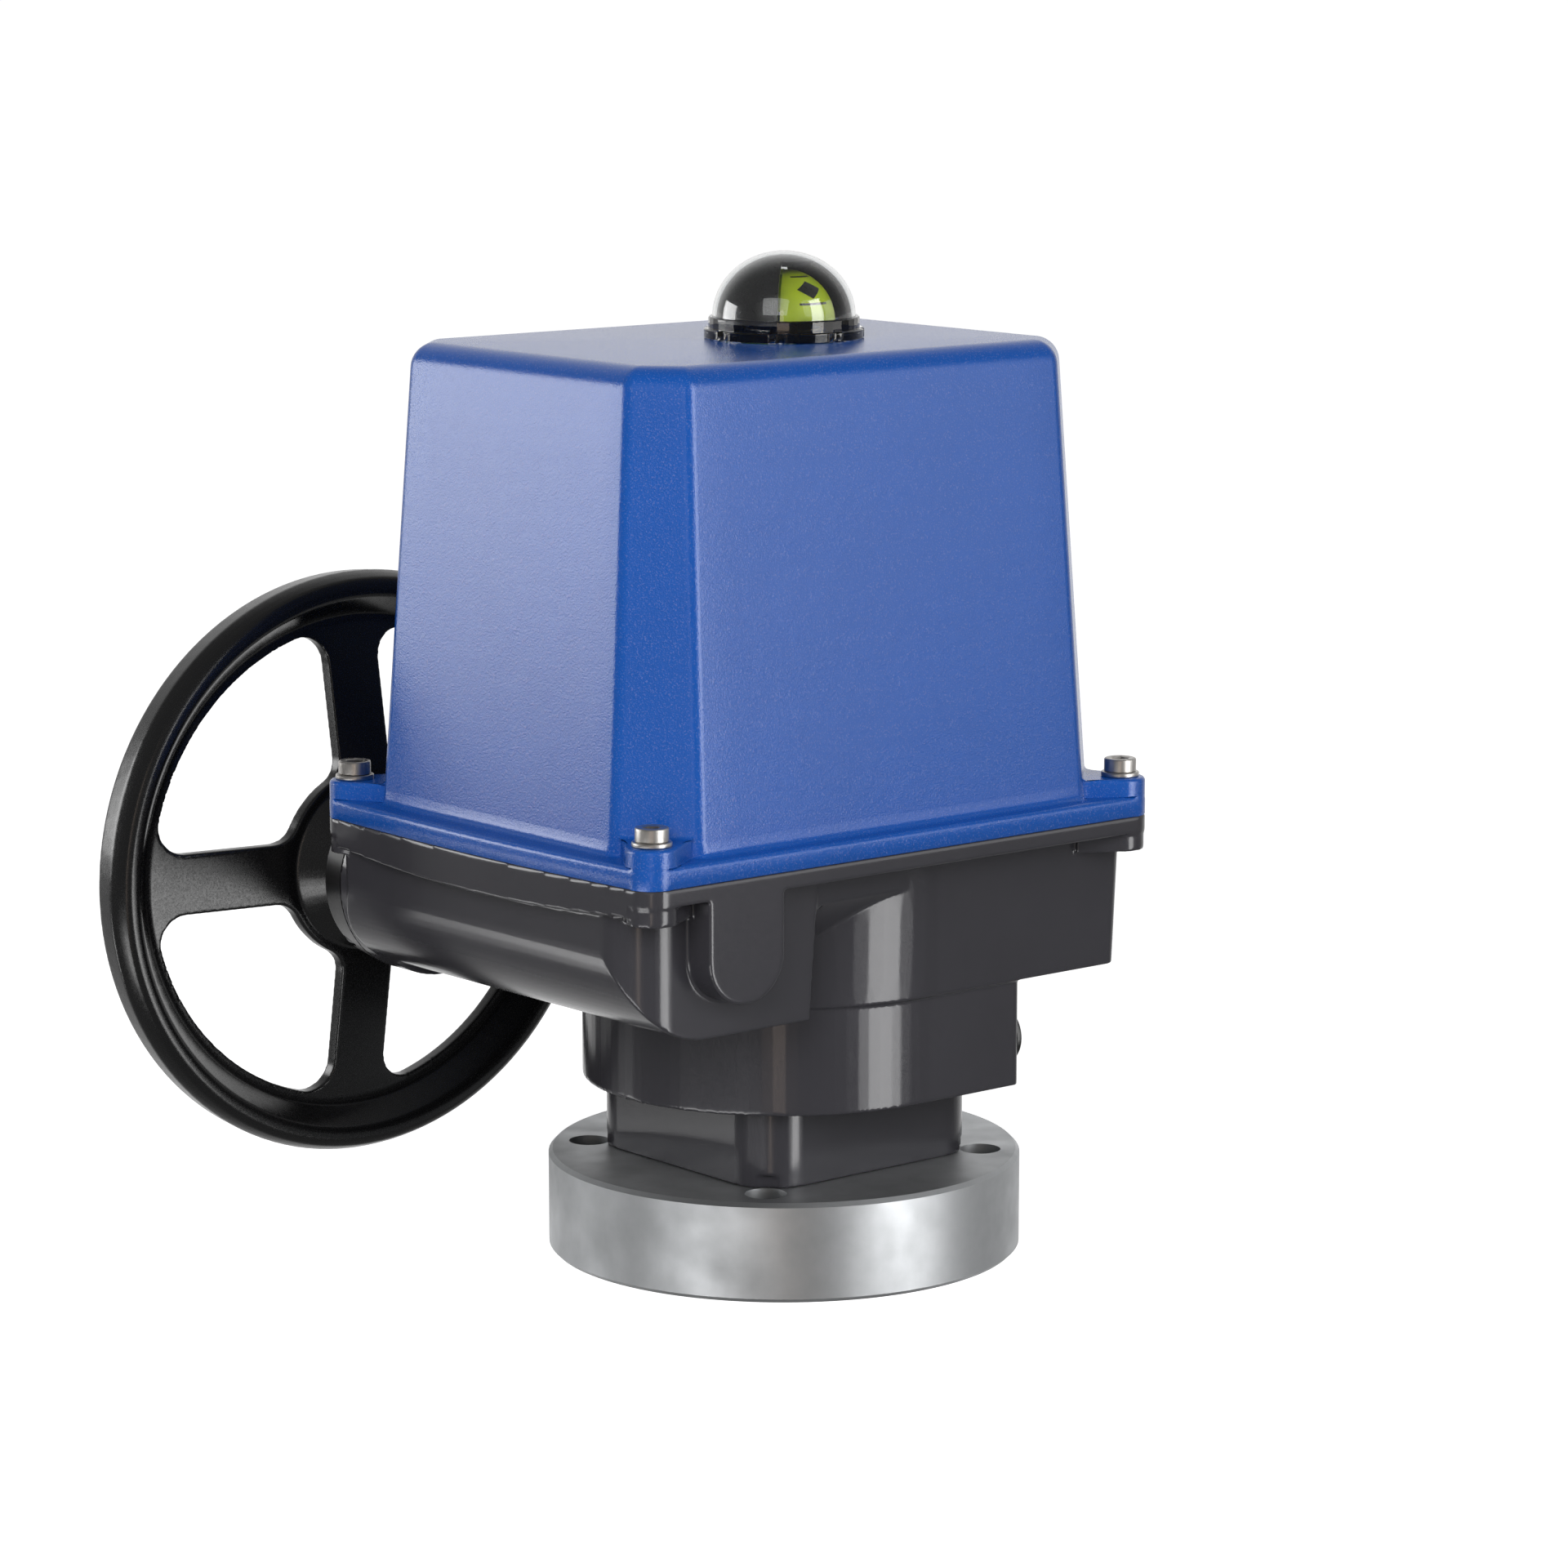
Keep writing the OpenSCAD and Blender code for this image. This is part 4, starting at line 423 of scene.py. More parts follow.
def coated(name, tint, roughness, peel, grain, depth, grain_depth, painted_glints=0.0, worn=0.06):
    """A painted or powder-coated casting: an even colour with orange peel and a fine grain. Where
    asked, pale dots on the grain are mixed into the colour as painted glints.
    """
    made = Finish(name)
    fine = made.noise(grain, 2)
    tone = made.range(made.noise(45, 4), 0.0, 1.0)
    mixed = made.blend(tone, shade(tint, 1 - worn), shade(tint, 1 + worn))
    # Pale dots on the fine grain are painted glints: a painted highlight mixed into the colour
    if painted_glints:
        glint_tint = tuple(c + painted_glints * (1 - c) for c in tint)
        mixed = made.blend(made.range(fine, 0.0, 1.0, 0.56, 0.74), mixed, glint_tint)
    rough = made.range(fine, roughness - 0.05, roughness + 0.05)
    low = made.relief(made.noise(peel, 2), depth)
    return made.surface(mixed, rough, made.relief(fine, grain_depth, low))


def moulded(name, tint, roughness=0.42, grain=0.35, depth=0.012):
    """Moulded plastic or rubber with a fine spark-eroded grain."""
    made = Finish(name)
    tone = made.range(made.noise(18, 3), 0.0, 1.0)
    fine = made.noise(grain, 2)
    rough = made.range(fine, roughness - 0.04, roughness + 0.06)
    mixed = made.blend(tone, shade(tint, 0.9), shade(tint, 1.12))
    return made.surface(mixed, rough, made.relief(fine, depth))


def metal(name, tint, roughness=0.32, cloud=14, grain=0.5, depth=0.004):
    """Bare metal with a cloudy sheen and fine tool marks."""
    made = Finish(name)
    haze = 0.07
    soft = made.noise(cloud, 5)
    mixed = made.blend(made.range(soft, 0.0, 1.0), shade(tint, 0.9), shade(tint, 1.06))
    rough = made.range(soft, roughness + haze, roughness - haze)
    return made.surface(mixed, rough, made.relief(made.noise(grain, 2), depth), 1.0)


def turned(name, tint, roughness, pitch, depth):
    """Turned steel: rings of tool marks around the output axis under a cloudy satin haze."""
    made = Finish(name)
    haze = 0.06
    split = made.add("ShaderNodeSeparateXYZ")
    made.feed(made.place, split.inputs["Vector"])
    flat = made.add("ShaderNodeCombineXYZ")
    made.feed(split.outputs["X"], flat.inputs["X"])
    made.feed(split.outputs["Y"], flat.inputs["Y"])
    radius = made.add("ShaderNodeVectorMath", operation="LENGTH")
    made.feed(flat.outputs["Vector"], radius.inputs[0])
    rings = made.add("ShaderNodeCombineXYZ")
    made.feed(radius.outputs["Value"], rings.inputs["X"])
    made.feed(split.outputs["Z"], rings.inputs["Z"])
    marks = made.noise(pitch, 1, rings.outputs["Vector"])
    cloud = made.noise(16, 6)
    mixed = made.blend(made.range(cloud, 0.0, 1.0), shade(tint, 0.88), shade(tint, 1.1))
    rough = made.range(cloud, roughness + haze, roughness - haze)
    return made.surface(mixed, rough, made.relief(marks, depth), 1.0)


def clear(name, tint):
    """Clear moulded plastic of the dome."""
    made = Finish(name)
    made.feed((*tint, 1), made.shader.inputs["Base Color"])
    made.feed(1.0, made.shader.inputs["Transmission Weight"])
    made.feed(1.49, made.shader.inputs["IOR"])
    made.feed(made.range(made.noise(6, 3), 0.0, 0.03), made.shader.inputs["Roughness"])
    return made.material


def finishes():
    """Every finish of the actuator by the name of its record slot."""
    picked = settings().finish
    flange, housing, cover, screws, black, yellow, wheel = (
        tuple(getattr(picked, name))
        for name in ("flange", "housing", "cover", "screws", "black", "yellow", "wheel"))
    steel = (0.56, 0.57, 0.58)
    return {
        "machined_steel": turned("turned_steel", flange, 0.5, 0.35, 0.003),
        "dark_screws": metal("blackened_steel", (0.09, 0.09, 0.095), 0.4),
        "housing_coat": coated("housing_coat", housing, 0.2, 2.6, 0.45, 0.008, 0.003),
        # The cover's coat carries painted glints: pale dots mixed into its colour
        "cover_coat": coated("cover_powder_coat", cover, 0.21, 1.7, 0.5, 0.03, 0.08, 0.08, 0.03),
        "plate_aluminium": metal("aluminium_plate", (0.70, 0.71, 0.72), 0.34),
        "zinc_screws": metal("zinc_plated", (0.66, 0.67, 0.66), 0.3, 6),
        "stainless": metal("stainless_steel", screws, 0.38, 7, 0.4),
        "gasket_rubber": moulded("gasket_rubber", (0.012, 0.012, 0.012), 0.6),
        "clear_dome": clear("clear_dome", (0.80, 0.81, 0.81)),
        "black_plastic": moulded("black_plastic", black, 0.36),
        "bronze": metal("bronze", (0.53, 0.34, 0.13), 0.34),
        "bearing_steel": metal("bearing_steel", steel, 0.18, 20, 0.6, 0.002),
        "black_coat": coated("black_coat", (0.011, 0.011, 0.012), 0.34, 2.4, 0.5, 0.01, 0.004),
        "motor_coat": coated("motor_coat", (0.018, 0.018, 0.02), 0.45, 2.0, 0.5, 0.012, 0.005),
        "board_green": moulded("solder_mask", (0.012, 0.13, 0.045), 0.3, 0.8, 0.006),
        "terminal_green": moulded("terminal_plastic", (0.05, 0.30, 0.12), 0.45),
        "relay_blue": moulded("relay_plastic", (0.03, 0.09, 0.33), 0.4),
        "plug_red": moulded("dust_plug_plastic", (0.50, 0.02, 0.012), 0.4),
        "shaft_steel": metal("ground_steel", steel, 0.24, 12, 0.4, 0.003),
        "brass": metal("brass", (0.72, 0.52, 0.20), 0.28),
        "cam_red": moulded("cam_plastic", (0.52, 0.05, 0.03), 0.42),
        "indicator_black": moulded("indicator_black", (0.012, 0.012, 0.013), 0.3, 0.4, 0.006),
        "indicator_yellow": moulded("indicator_yellow", yellow, 0.38, 0.4, 0.006),
        "wheel_coat": coated("wheel_coat", wheel, 0.25, 3.0, 0.6, 0.003, 0.0005),
    }


def material_of(slot):
    """The finish of a record slot, made when it is first asked for."""
    if not FINISH_OF_SLOT:
        FINISH_OF_SLOT.update(finishes())
    return FINISH_OF_SLOT[slot]


FINISH_OF_SLOT = {}


# Cover

# Radius of the small fillet between a lug's flat top and the wall, and of the rim's lower edge
LUG_FILLET = 1.4
RIM_FOOT = 0.35
# Share of the foot fillet's radius that is left beside a lug, and on its nose
BESIDE_LUG = 0.12
ON_NOSE = 0.02
# From a lug's top to the first full ring of the walls, and how many there are
WALLS_FROM = 4
WALL_RINGS = 6
# The foot fillet swells over this many stations on each side, from this share of an arc on
EASE = 3
ARC_HALF = 0.45
# At the top edge the upright edges lose this share of their radius, down to the least radius
CORNER_LOSS = 0.9
LEAST_CORNER = 0.5


class CoverPlan:
    """The cover's plan at any height: stations round the outline that every ring shares."""

    # Steps along a corner's arc, a wall, a lug's flank and a lug's nose
    ARC = 7
    WALL = 12
    FLANK = 5
    NOSE = 20
    # Height above the parting plane at which the drafted walls have their plan size
    DATUM = 6
    # What the stations on a cut corner spread past a lug's foot, on each side
    SPREAD = 0.35
    # Over this reach of its flanks a lug joins the wall, and over that one it starts to grow
    JOIN = 0.25
    GROWTH = 3
    # The rim's bow ends this far before the corners
    BOW_END = 1
    SIDES = ("left", "front", "front", "right", "right", "back", "back", "left")

    def __init__(self, sizes):
        self.s = sizes
        low, high = box_mm("housing_cover")
        washers_low, washers_high = box_mm("cover_washers")
        washer = settings().fasteners.washer_radius
        self.left = -low.x - sizes.rim_bow
        self.right, self.front, self.back = high.x, -low.y, high.y
        self.base, self.top = low.z, high.z
        self.screws = [
            Vector((x, y))
            for x in (washers_low.x + washer, washers_high.x - washer)
            for y in (washers_low.y + washer, washers_high.y - washer)
        ]
        self.lean = math.tan(math.radians(sizes.draft))
        self.foot = self.base + sizes.rim_height
        self.lugs = [self.lug(k) for k in (0, 2, 4, 6)]
        self.stations = list(self.walk())

    def corners(self, inset):
        """The eight corners, anticlockwise from the left wall's front end."""
        s = self.s
        a, b = self.left - s.ledge - inset, self.right - s.ledge - inset
        c, d = self.front - s.ledge - inset, self.back - s.ledge - inset
        k = s.cut - (2 - math.sqrt(2)) * inset
        points = [
            (-a, -c + k), (-a + k, -c), (b - k, -c), (b, -c + k),
            (b, d - k), (b - k, d), (-a + k, d), (-a, d - k),
        ]
        return [Vector(p) for p in points]

    def inset_at(self, z):
        """How far the walls' draft moves them in at height z."""
        return self.lean * (z - self.base - self.DATUM)

    def lug(self, k):
        """The outline of the lug on the chamfer from corner k.

        Each station is (point, offset along the chamfer, reach out of it, centre of the screw)."""
        s = self.s
        corners = self.corners(self.inset_at(self.base + s.lug_height))
        start, end = corners[k], corners[k + 1]
        along = (end - start).normalized()
        out = Vector((along.y, -along.x))
        middle = (start + end) / 2
        centre = min(self.screws, key=lambda p: (p - middle).length)
        radius = s.rim_corner - s.lug_step
        reach = (centre - middle).dot(out)
        half = s.lug_foot / 2
        lean = math.asin(radius / math.hypot(reach, half)) - math.atan2(reach, half) + math.pi / 2
        slope = math.pi / 2 - lean
        tangent = Vector((radius * math.cos(slope), radius * math.sin(slope)))
        flank = []
        for i in range(self.FLANK):
            share = i / self.FLANK
            flank.append((share * (reach + tangent.y), half + share * (tangent.x - half)))
        nose = []
        for i in range(self.NOSE + 1):
            turn = math.pi - slope + (2 * slope - math.pi) * i / self.NOSE
            nose.append((reach + radius * math.sin(turn), radius * math.cos(turn)))
        local = [(u, -v) for u, v in flank] + nose + flank[::-1]
        return [(middle + along * v + out * u, v, u, centre) for u, v in local]

    def walk(self):
        """Yields (kind, corner, share or number) round the plan."""
        for k in range(8):
            for i in range(self.ARC + 1):
                yield "arc", k, i / self.ARC
            if k % 2:
                for i in range(1, self.WALL):
                    yield "wall", k, i / self.WALL
            else:
                for i in range(len(self.lugs[k // 2])):
                    yield "lug", k, i

    def body(self, z, inset=0.0, corner=None):
        """The ring of the drafted walls at height z, moved in by inset."""
        corners = self.corners(self.inset_at(z) + inset)
        radius = self.s.upright_edge if corner is None else corner
        tangent = radius * math.tan(math.radians(22.5))
        ring = []
        for kind, k, share in self.stations:
            here, after, before = corners[k], corners[(k + 1) % 8], corners[k - 1]
            into, onward = (here - before).normalized(), (after - here).normalized()
            if kind == "arc":
                centre = here - into * tangent + Vector((-into.y, into.x)) * radius
                turn = math.atan2(-into.x, into.y) + math.radians(45) * share
                point = centre + radius * Vector((math.cos(turn), math.sin(turn)))
            else:
                first, last = here + onward * tangent, after - onward * tangent
                if kind == "lug":
                    widest = self.s.lug_foot / 2 + self.SPREAD
                    share = 0.5 + 0.5 * self.lugs[k // 2][share][1] / widest
                point = first.lerp(last, share)
            ring.append(point)
        return ring

    def union(self, z, grow=0.0):
        """The ring of the walls and lugs together, with the lugs grown by a small amount."""
        ring = self.body(z)
        for n, (kind, k, i) in enumerate(self.stations):
            if kind != "lug":
                continue
            point, v, u, centre = self.lugs[k // 2][i]
            if u > 0:
                away = (point - centre).normalized()
                grown = point + away * grow * min(1.0, u / self.GROWTH)
                ring[n] = ring[n].lerp(grown, min(1.0, u / self.JOIN))
        return ring

    def on_nose(self, station):
        """Whether a station is outwards of its lug's screw, where rim and lug are one wall."""
        kind, k, i = station
        if kind != "lug":
            return False
        point, v, u, centre = self.lugs[k // 2][i]
        away = point - centre
        return away.x * centre.x > 0 and away.y * centre.y > 0

    def rim(self, inset=0.0):
        """The ring of the rim's outline, moved in by inset."""
        s = self.s
        ring = []
        middle = (self.back - self.front) / 2
        half = (self.back + self.front) / 2 - s.rim_corner - self.BOW_END
        for station, point in zip(self.stations, self.union(self.foot)):
            kind, k, i = station
            if self.on_nose(station):
                centre = self.lugs[k // 2][i][3]
                away = (point - centre).normalized()
                ring.append(centre + away * (s.rim_corner - min(inset, s.lug_step)))
                continue
            past_middle = kind == "lug" and i >= len(self.lugs[k // 2]) / 2
            side = self.SIDES[k + 1 if past_middle else k]
            if side == "left":
                bow = max(0.0, 1 - ((point.y - middle) / half) ** 2) * s.rim_bow
                ring.append(Vector((-self.left - bow + inset, point.y)))
            elif side == "right":
                ring.append(Vector((self.right - inset, point.y)))
            elif side == "front":
                ring.append(Vector((point.x, -self.front + inset)))
            else:
                ring.append(Vector((point.x, self.back - inset)))
        return ring

    def foot_shares(self):
        """Share of the foot fillet's radius at each station, which is small round the lugs."""
        near = []
        for kind, k, i in self.stations:
            lug_side = kind == "arc" and (i > ARC_HALF if k % 2 == 0 else i < 1 - ARC_HALF)
            near.append(BESIDE_LUG if kind == "lug" or lug_side else 1.0)
        shares = []
        for n, station in enumerate(self.stations):
            if self.on_nose(station):
                shares.append(ON_NOSE)
            elif station[0] == "lug":
                shares.append(BESIDE_LUG)
            else:
                window = [near[(n + j) % len(near)] for j in range(-EASE, EASE + 1)]
                shares.append(sum(window) / len(window))
        return shares

    def stepped(self, lugs, lugs_z, walls, walls_z):
        """A ring as points, with its lugs at one height and its walls at another."""
        return [
            (p.x, p.y, lugs_z) if kind == "lug" else (w.x, w.y, walls_z)
            for (kind, k, i), p, w in zip(self.stations, lugs, walls)
        ]


def at_height(ring, z):
    """A plan's ring as points at one height."""
    return [(p.x, p.y, z) for p in ring]


def cover_mesh():
    """The cover as one closed shell: rim, lugs, drafted walls, rounded top and the hollow."""
    s = settings().cover
    plan = CoverPlan(s)
    parting = plan.base
    rings = [at_height(plan.rim(RIM_FOOT), parting), at_height(plan.rim(), parting + RIM_FOOT)]
    for t in quarter(6):
        z = plan.foot - s.rim_edge + s.rim_edge * math.sin(t)
        rings.append(at_height(plan.rim(s.rim_edge * (1 - math.cos(t))), z))
    # The ledge runs in to a fillet at the foot of the walls
    foot, shares = plan.union(plan.foot), plan.foot_shares()
    outward = []
    for n, point in enumerate(foot):
        step = foot[(n + 1) % len(foot)] - foot[n - 1]
        outward.append(Vector((step.y, -step.x)).normalized())
    for t in quarter(5):
        ring = []
        for point, out, share in zip(foot, outward, shares):
            r = s.foot_fillet * share
            p = point + out * r * (1 - math.sin(t))
            ring.append((p.x, p.y, plan.foot + r * (1 - math.cos(t))))
        rings.append(ring)
    lug_top = parting + s.lug_height
    lug_side = lug_top - s.lug_edge
    rings.append(at_height(plan.union(lug_side), lug_side))
    for t in quarter(5)[1:]:
        z = lug_side + s.lug_edge * math.sin(t)
        walls_z = lug_side + s.lug_edge * t / math.radians(90)
        shrunk = plan.union(z, -s.lug_edge * (1 - math.cos(t)))
        rings.append(plan.stepped(shrunk, z, plan.body(walls_z), walls_z))
    # From the lug's flat top a small fillet leads up the cut corner
    angles = quarter(5)
    for step, t in enumerate(angles):
        z = lug_top + LUG_FILLET * (1 - math.cos(t))
        walls_z = lug_top + LUG_FILLET * (step + 1) / len(angles)
        inner = plan.body(z, -LUG_FILLET * (1 - math.sin(t)))
        rings.append(plan.stepped(inner, z, plan.body(walls_z), walls_z))
    crown = plan.top - s.top_edge
    for i in range(WALL_RINGS):
        z = lug_top + WALLS_FROM + (crown - lug_top - WALLS_FROM) * i / WALL_RINGS
        rings.append(at_height(plan.body(z), z))
    for t in quarter(9):
        inset = s.top_edge * (1 - math.cos(t))
        corner = max(LEAST_CORNER, s.upright_edge * (1 - CORNER_LOSS * inset / s.top_edge))
        z = crown + s.top_edge * math.sin(t)
        drafted = inset + plan.inset_at(z) - plan.inset_at(crown)
        rings.append(at_height(plan.body(crown, drafted, corner), z))
    hole = [p.normalized() * s.hole for p in plan.body(plan.top)]
    ceiling = plan.top - s.wall
    rings += [at_height(hole, plan.top), at_height(hole, ceiling)]
    inner_edge, inner_corner = s.top_edge - s.wall, s.upright_edge - s.wall
    for t in reversed(quarter(5)):
        z = ceiling - inner_edge + inner_edge * math.sin(t)
        inset = s.wall + inner_edge * (1 - math.cos(t))
        rings.append(at_height(plan.body(z, inset, inner_corner), z))
    rings.append(at_height(plan.body(parting, s.wall, inner_corner), parting))
    bm = bmesh.new()
    loft(bm, rings, loop=True)
    return mesh_of(bm, "housing_cover_shell", 50)


class ACTUATOR_OT_cover(bpy.types.Operator):
    """Builds the blue cover with its rim, lugs and rounded edges"""

    bl_idname = "actuator.cover"
    bl_label = "Build cover"

    def execute(self, context):
        add_piece("cover_shell", cover_mesh(), BODY, "cover_coat", "housing_cover")
        return {"FINISHED"}


# Castings

def softened(node, voxel, passes):
    """A CAD node's mesh with a casting's soft edges: put on a fine grid, smoothed, thinned out."""
    source = bmesh.new()
    source.from_mesh(frame["nodes"][node].data)
    bmesh.ops.remove_doubles(source, verts=source.verts, dist=0.002 * MM)
    exact = bpy.data.meshes.new(node + "_exact")
    source.to_mesh(exact)
    source.free()
    holder = bpy.data.objects.new(node + "_soft", exact)
    bpy.context.scene.collection.objects.link(holder)
    remesh = holder.modifiers.new("grid", "REMESH")
    remesh.mode = "VOXEL"
    remesh.voxel_size = voxel * MM
    smooth = holder.modifiers.new("smooth", "SMOOTH")
    smooth.factor = 0.5
    smooth.iterations = passes
    fewer = holder.modifiers.new("fewer", "DECIMATE")
    fewer.ratio = settings().casting.kept
    graph = bpy.context.evaluated_depsgraph_get()
    mesh = bpy.data.meshes.new_from_object(holder.evaluated_get(graph))
    bpy.data.objects.remove(holder)
    bpy.data.meshes.remove(exact)
    mesh.shade_smooth()
    return mesh


class ACTUATOR_OT_castings(bpy.types.Operator):
    """Gives the gear housing and the handwheel the soft edges of castings"""

    bl_idname = "actuator.castings"
    bl_label = "Build castings"

    def execute(self, context):
        s = settings().casting
        housing = softened("gear_housing", s.housing_voxel, s.housing_passes)
        add_piece("gear_casting", housing, BODY, "housing_coat", "gear_housing")
        wheel = softened("handwheel", s.wheel_voxel, s.wheel_passes)
        add_piece("wheel_casting", wheel, WORM, "wheel_coat", "handwheel")
        return {"FINISHED"}


# Indicator

def quarter_oval(radius, foot, rise, steps=24):
    """The profile of a dome from its foot up, without the tip."""
    return [(radius * math.cos(t), foot + rise * math.sin(t)) for t in quarter(steps)[:-1]]


def dome_mesh():
    """The clear dome with its notched ring, its faceted ring and the neck through the cover."""
    s = settings().indicator
    low, high = box_mm("indicator_dome")
    foot = box_mm("housing_cover")[1].z
    step = foot + s.ring_height
    middle = step + s.band_height
    rise = high.z - middle
    inner_rise = rise - s.wall
    count, notches, facets = 160, 8, 40
    edge = 0.35
    bore = s.neck_radius - 2

    def notched(turn):
        """The lower ring's radius, with its grip notches."""
        wave = (math.cos(notches * turn) - 0.8) * 12
        return s.ring_radius - s.notch * max(0.0, min(1.0, wave))

    def eased(turn):
        return notched(turn) - edge

    band = faceted(s.band_radius, facets)
    outside = [
        (bore, low.z), (s.neck_radius, low.z), (s.neck_radius, foot), (eased, foot),
        (notched, foot + edge), (notched, step - edge), (eased, step), (band, step),
        (band, middle - edge), (s.band_radius - edge, middle),
    ]
    outside += quarter_oval(s.dome_radius, middle, rise)
    inside = [(bore, foot + 1)] + quarter_oval(s.dome_radius - s.wall, middle, inner_rise)
    bm = bmesh.new()
    loft(bm, [circle_ring(r, z, count) for r, z in outside], end=(0, 0, high.z))
    loft(bm, [circle_ring(r, z, count) for r, z in inside], end=(0, 0, middle + inner_rise))
    bmesh.ops.remove_doubles(bm, verts=bm.verts, dist=0.001 * MM)
    open_rings = [e for e in bm.edges if len(e.link_faces) == 1]
    bmesh.ops.bridge_loops(bm, edges=open_rings)
    mesh = mesh_of(bm, "indicator_dome_clear", 40)
    for face in mesh.polygons:
        spot = face.center / MM
        if step < spot.z < middle - edge and math.hypot(spot.x, spot.y) > s.band_radius - 1:
            face.use_smooth = False
    return mesh


def yellow_dome():
    """Foot height, radius and rise of the drum's yellow dome."""
    low, high = box_mm("indicator_yellow")
    inset, drop = 0.9, 0.4
    return low.z, max(-low.x, high.x, -low.y, high.y) - inset, high.z - low.z - drop


def black_dome():
    """Foot height, radius and rise of the drum's black dome, which is the larger one."""
    s = settings().indicator
    foot = yellow_dome()[0]
    top = box_mm("indicator_dome")[1].z
    return foot, s.dome_radius - s.wall - s.drum_gap, top - s.wall - s.drum_gap - foot


def drum_point(dome, turn, tilt, lift=0.0):
    """A point on a drum's dome by its turn and tilt in radians, in metres."""
    foot, radius, rise = dome
    r, h = radius + lift, rise + lift
    return Vector((
        r * math.cos(tilt) * math.cos(turn), r * math.cos(tilt) * math.sin(turn),
        foot + h * math.sin(tilt))) * MM


def drum_mesh(name, dome, patches):
    """Closed patches of a domed shell, each given as its middle turn, lowest and highest tilt."""
    steps, gap = 20, 0.15
    bm = bmesh.new()
    for centre, lowest, highest in patches:
        shells = []
        for inset in (0.0, settings().indicator.drum_wall):
            start = math.degrees(math.asin(gap / (dome[1] - inset)))
            grid = []
            for i in range(steps + 1):
                turn = math.radians(centre - 45 + start + (90 - 2 * start) * i / steps)
                tilts = [math.radians(lowest + (highest - lowest) * j / steps)
                         for j in range(steps + 1)]
                grid.append([bm.verts.new(drum_point(dome, turn, t, -inset)) for t in tilts])
            shells.append(grid)
        close_plate(bm, *shells)
    return mesh_of(bm, name, 40)


def marks_mesh():
    """Printed marks on the yellow quarters: a line above, a diamond and a line below."""
    s = settings().indicator
    foot, radius, rise = yellow_dome()
    proud, thickness = 0.05, 0.04
    dome = (foot, radius + proud, rise + proud)
    lines = ((60, 26), (22, 21))
    wide, tall, tilt = 21, 12, 40
    half = math.degrees(s.mark / dome[1]) / 2
    shapes = [
        [[(-reach + 2 * reach * i / 14, height + edge) for edge in (-half, half)]
         for i in range(15)]
        for height, reach in lines
    ]
    shapes.append([
        [(-wide + (i + j) * wide / 4, tilt + (i - j) * tall / 4) for j in range(5)]
        for i in range(5)
    ])
    bm = bmesh.new()
    for centre in (-90, 90):
        for columns in shapes:
            close_plate(bm, *[
                [[bm.verts.new(drum_point(dome, math.radians(centre + a), math.radians(t), lift))
                  for a, t in column] for column in columns]
                for lift in (0.0, -thickness)
            ])
    return mesh_of(bm, "indicator_marks", 40)


class ACTUATOR_OT_indicator(bpy.types.Operator):
    """Builds the clear dome and the black and yellow drum with its marks"""

    bl_idname = "actuator.indicator"
    bl_label = "Build indicator"

    def execute(self, context):
        add_piece("clear_dome_shell", dome_mesh(), BODY, "clear_dome", "indicator_dome")
        yellow = drum_mesh("drum_yellow_quarters", yellow_dome(), [(-90, 0, 84), (90, 0, 84)])
        add_piece("drum_yellow", yellow, OUTPUT, "indicator_yellow", "indicator_yellow")
        cap = settings().indicator.cap_tilt
        patches = [(0, 0, 88), (180, 0, 88), (-90, cap, 88), (90, cap, 88)]
        black = drum_mesh("drum_black_quarters", black_dome(), patches)
        add_piece("drum_black", black, OUTPUT, "indicator_black", "indicator_black")
        add_piece("drum_marks", marks_mesh(), OUTPUT, "indicator_black")
        return {"FINISHED"}


# Fasteners

def socket_screw(bm, place, shank):
    """A socket head screw that points down the local Z axis from the underside of its head."""
    s = settings().fasteners
    thread, head, height = s.thread / 2, s.head_radius, s.head_height
    tip, foot_edge, socket_edge, drill = 0.7, 0.25, 0.35, 0.8
    profile = [
        (thread - tip, -shank), (thread, -shank + tip), (thread, 0),
        (head - foot_edge, 0), (head, foot_edge),
    ]
    profile += arc(head - s.head_edge, height - s.head_edge, s.head_edge, 0, 90, 4)
    hexagon = faceted(s.socket, 6)
    profile += [
        (s.socket + 0.45, height), (hexagon, height - socket_edge),
        (hexagon, height - s.socket_depth),
    ]
    bottom = height - s.socket_depth - drill
    turned_solid(bm, [(0, -shank)] + profile + [(0, bottom)], 48, place)


def washer(bm, place, inner, thick):
    """A flat washer with rounded edges, lying on the local XY plane."""
    s = settings().fasteners
    edge = s.washer_edge
    middle = s.washer_radius - edge
    profile = [(inner, 0.0)] + arc(middle, edge, edge, -90, 0, 3)
    profile += arc(middle, thick - edge, edge, 0, 90, 3) + [(inner, thick)]
    loft(bm, [circle_ring(r, z, 48, place) for r, z in profile], loop=True)


def cover_screw_places():
    """The four places under the screw heads, on top of the washers."""
    low, high = box_mm("cover_screws")
    washers_top = box_mm("cover_washers")[1].z
    head = settings().fasteners.head_radius
    turns = (12, 47, -20, 31)
    spots = [(x, y) for x in (low.x + head, high.x - head) for y in (low.y + head, high.y - head)]
    return [
        Matrix.Translation((x, y, washers_top)) @ Matrix.Rotation(math.radians(turn), 4, "Z")
        for (x, y), turn in zip(spots, turns)
    ]


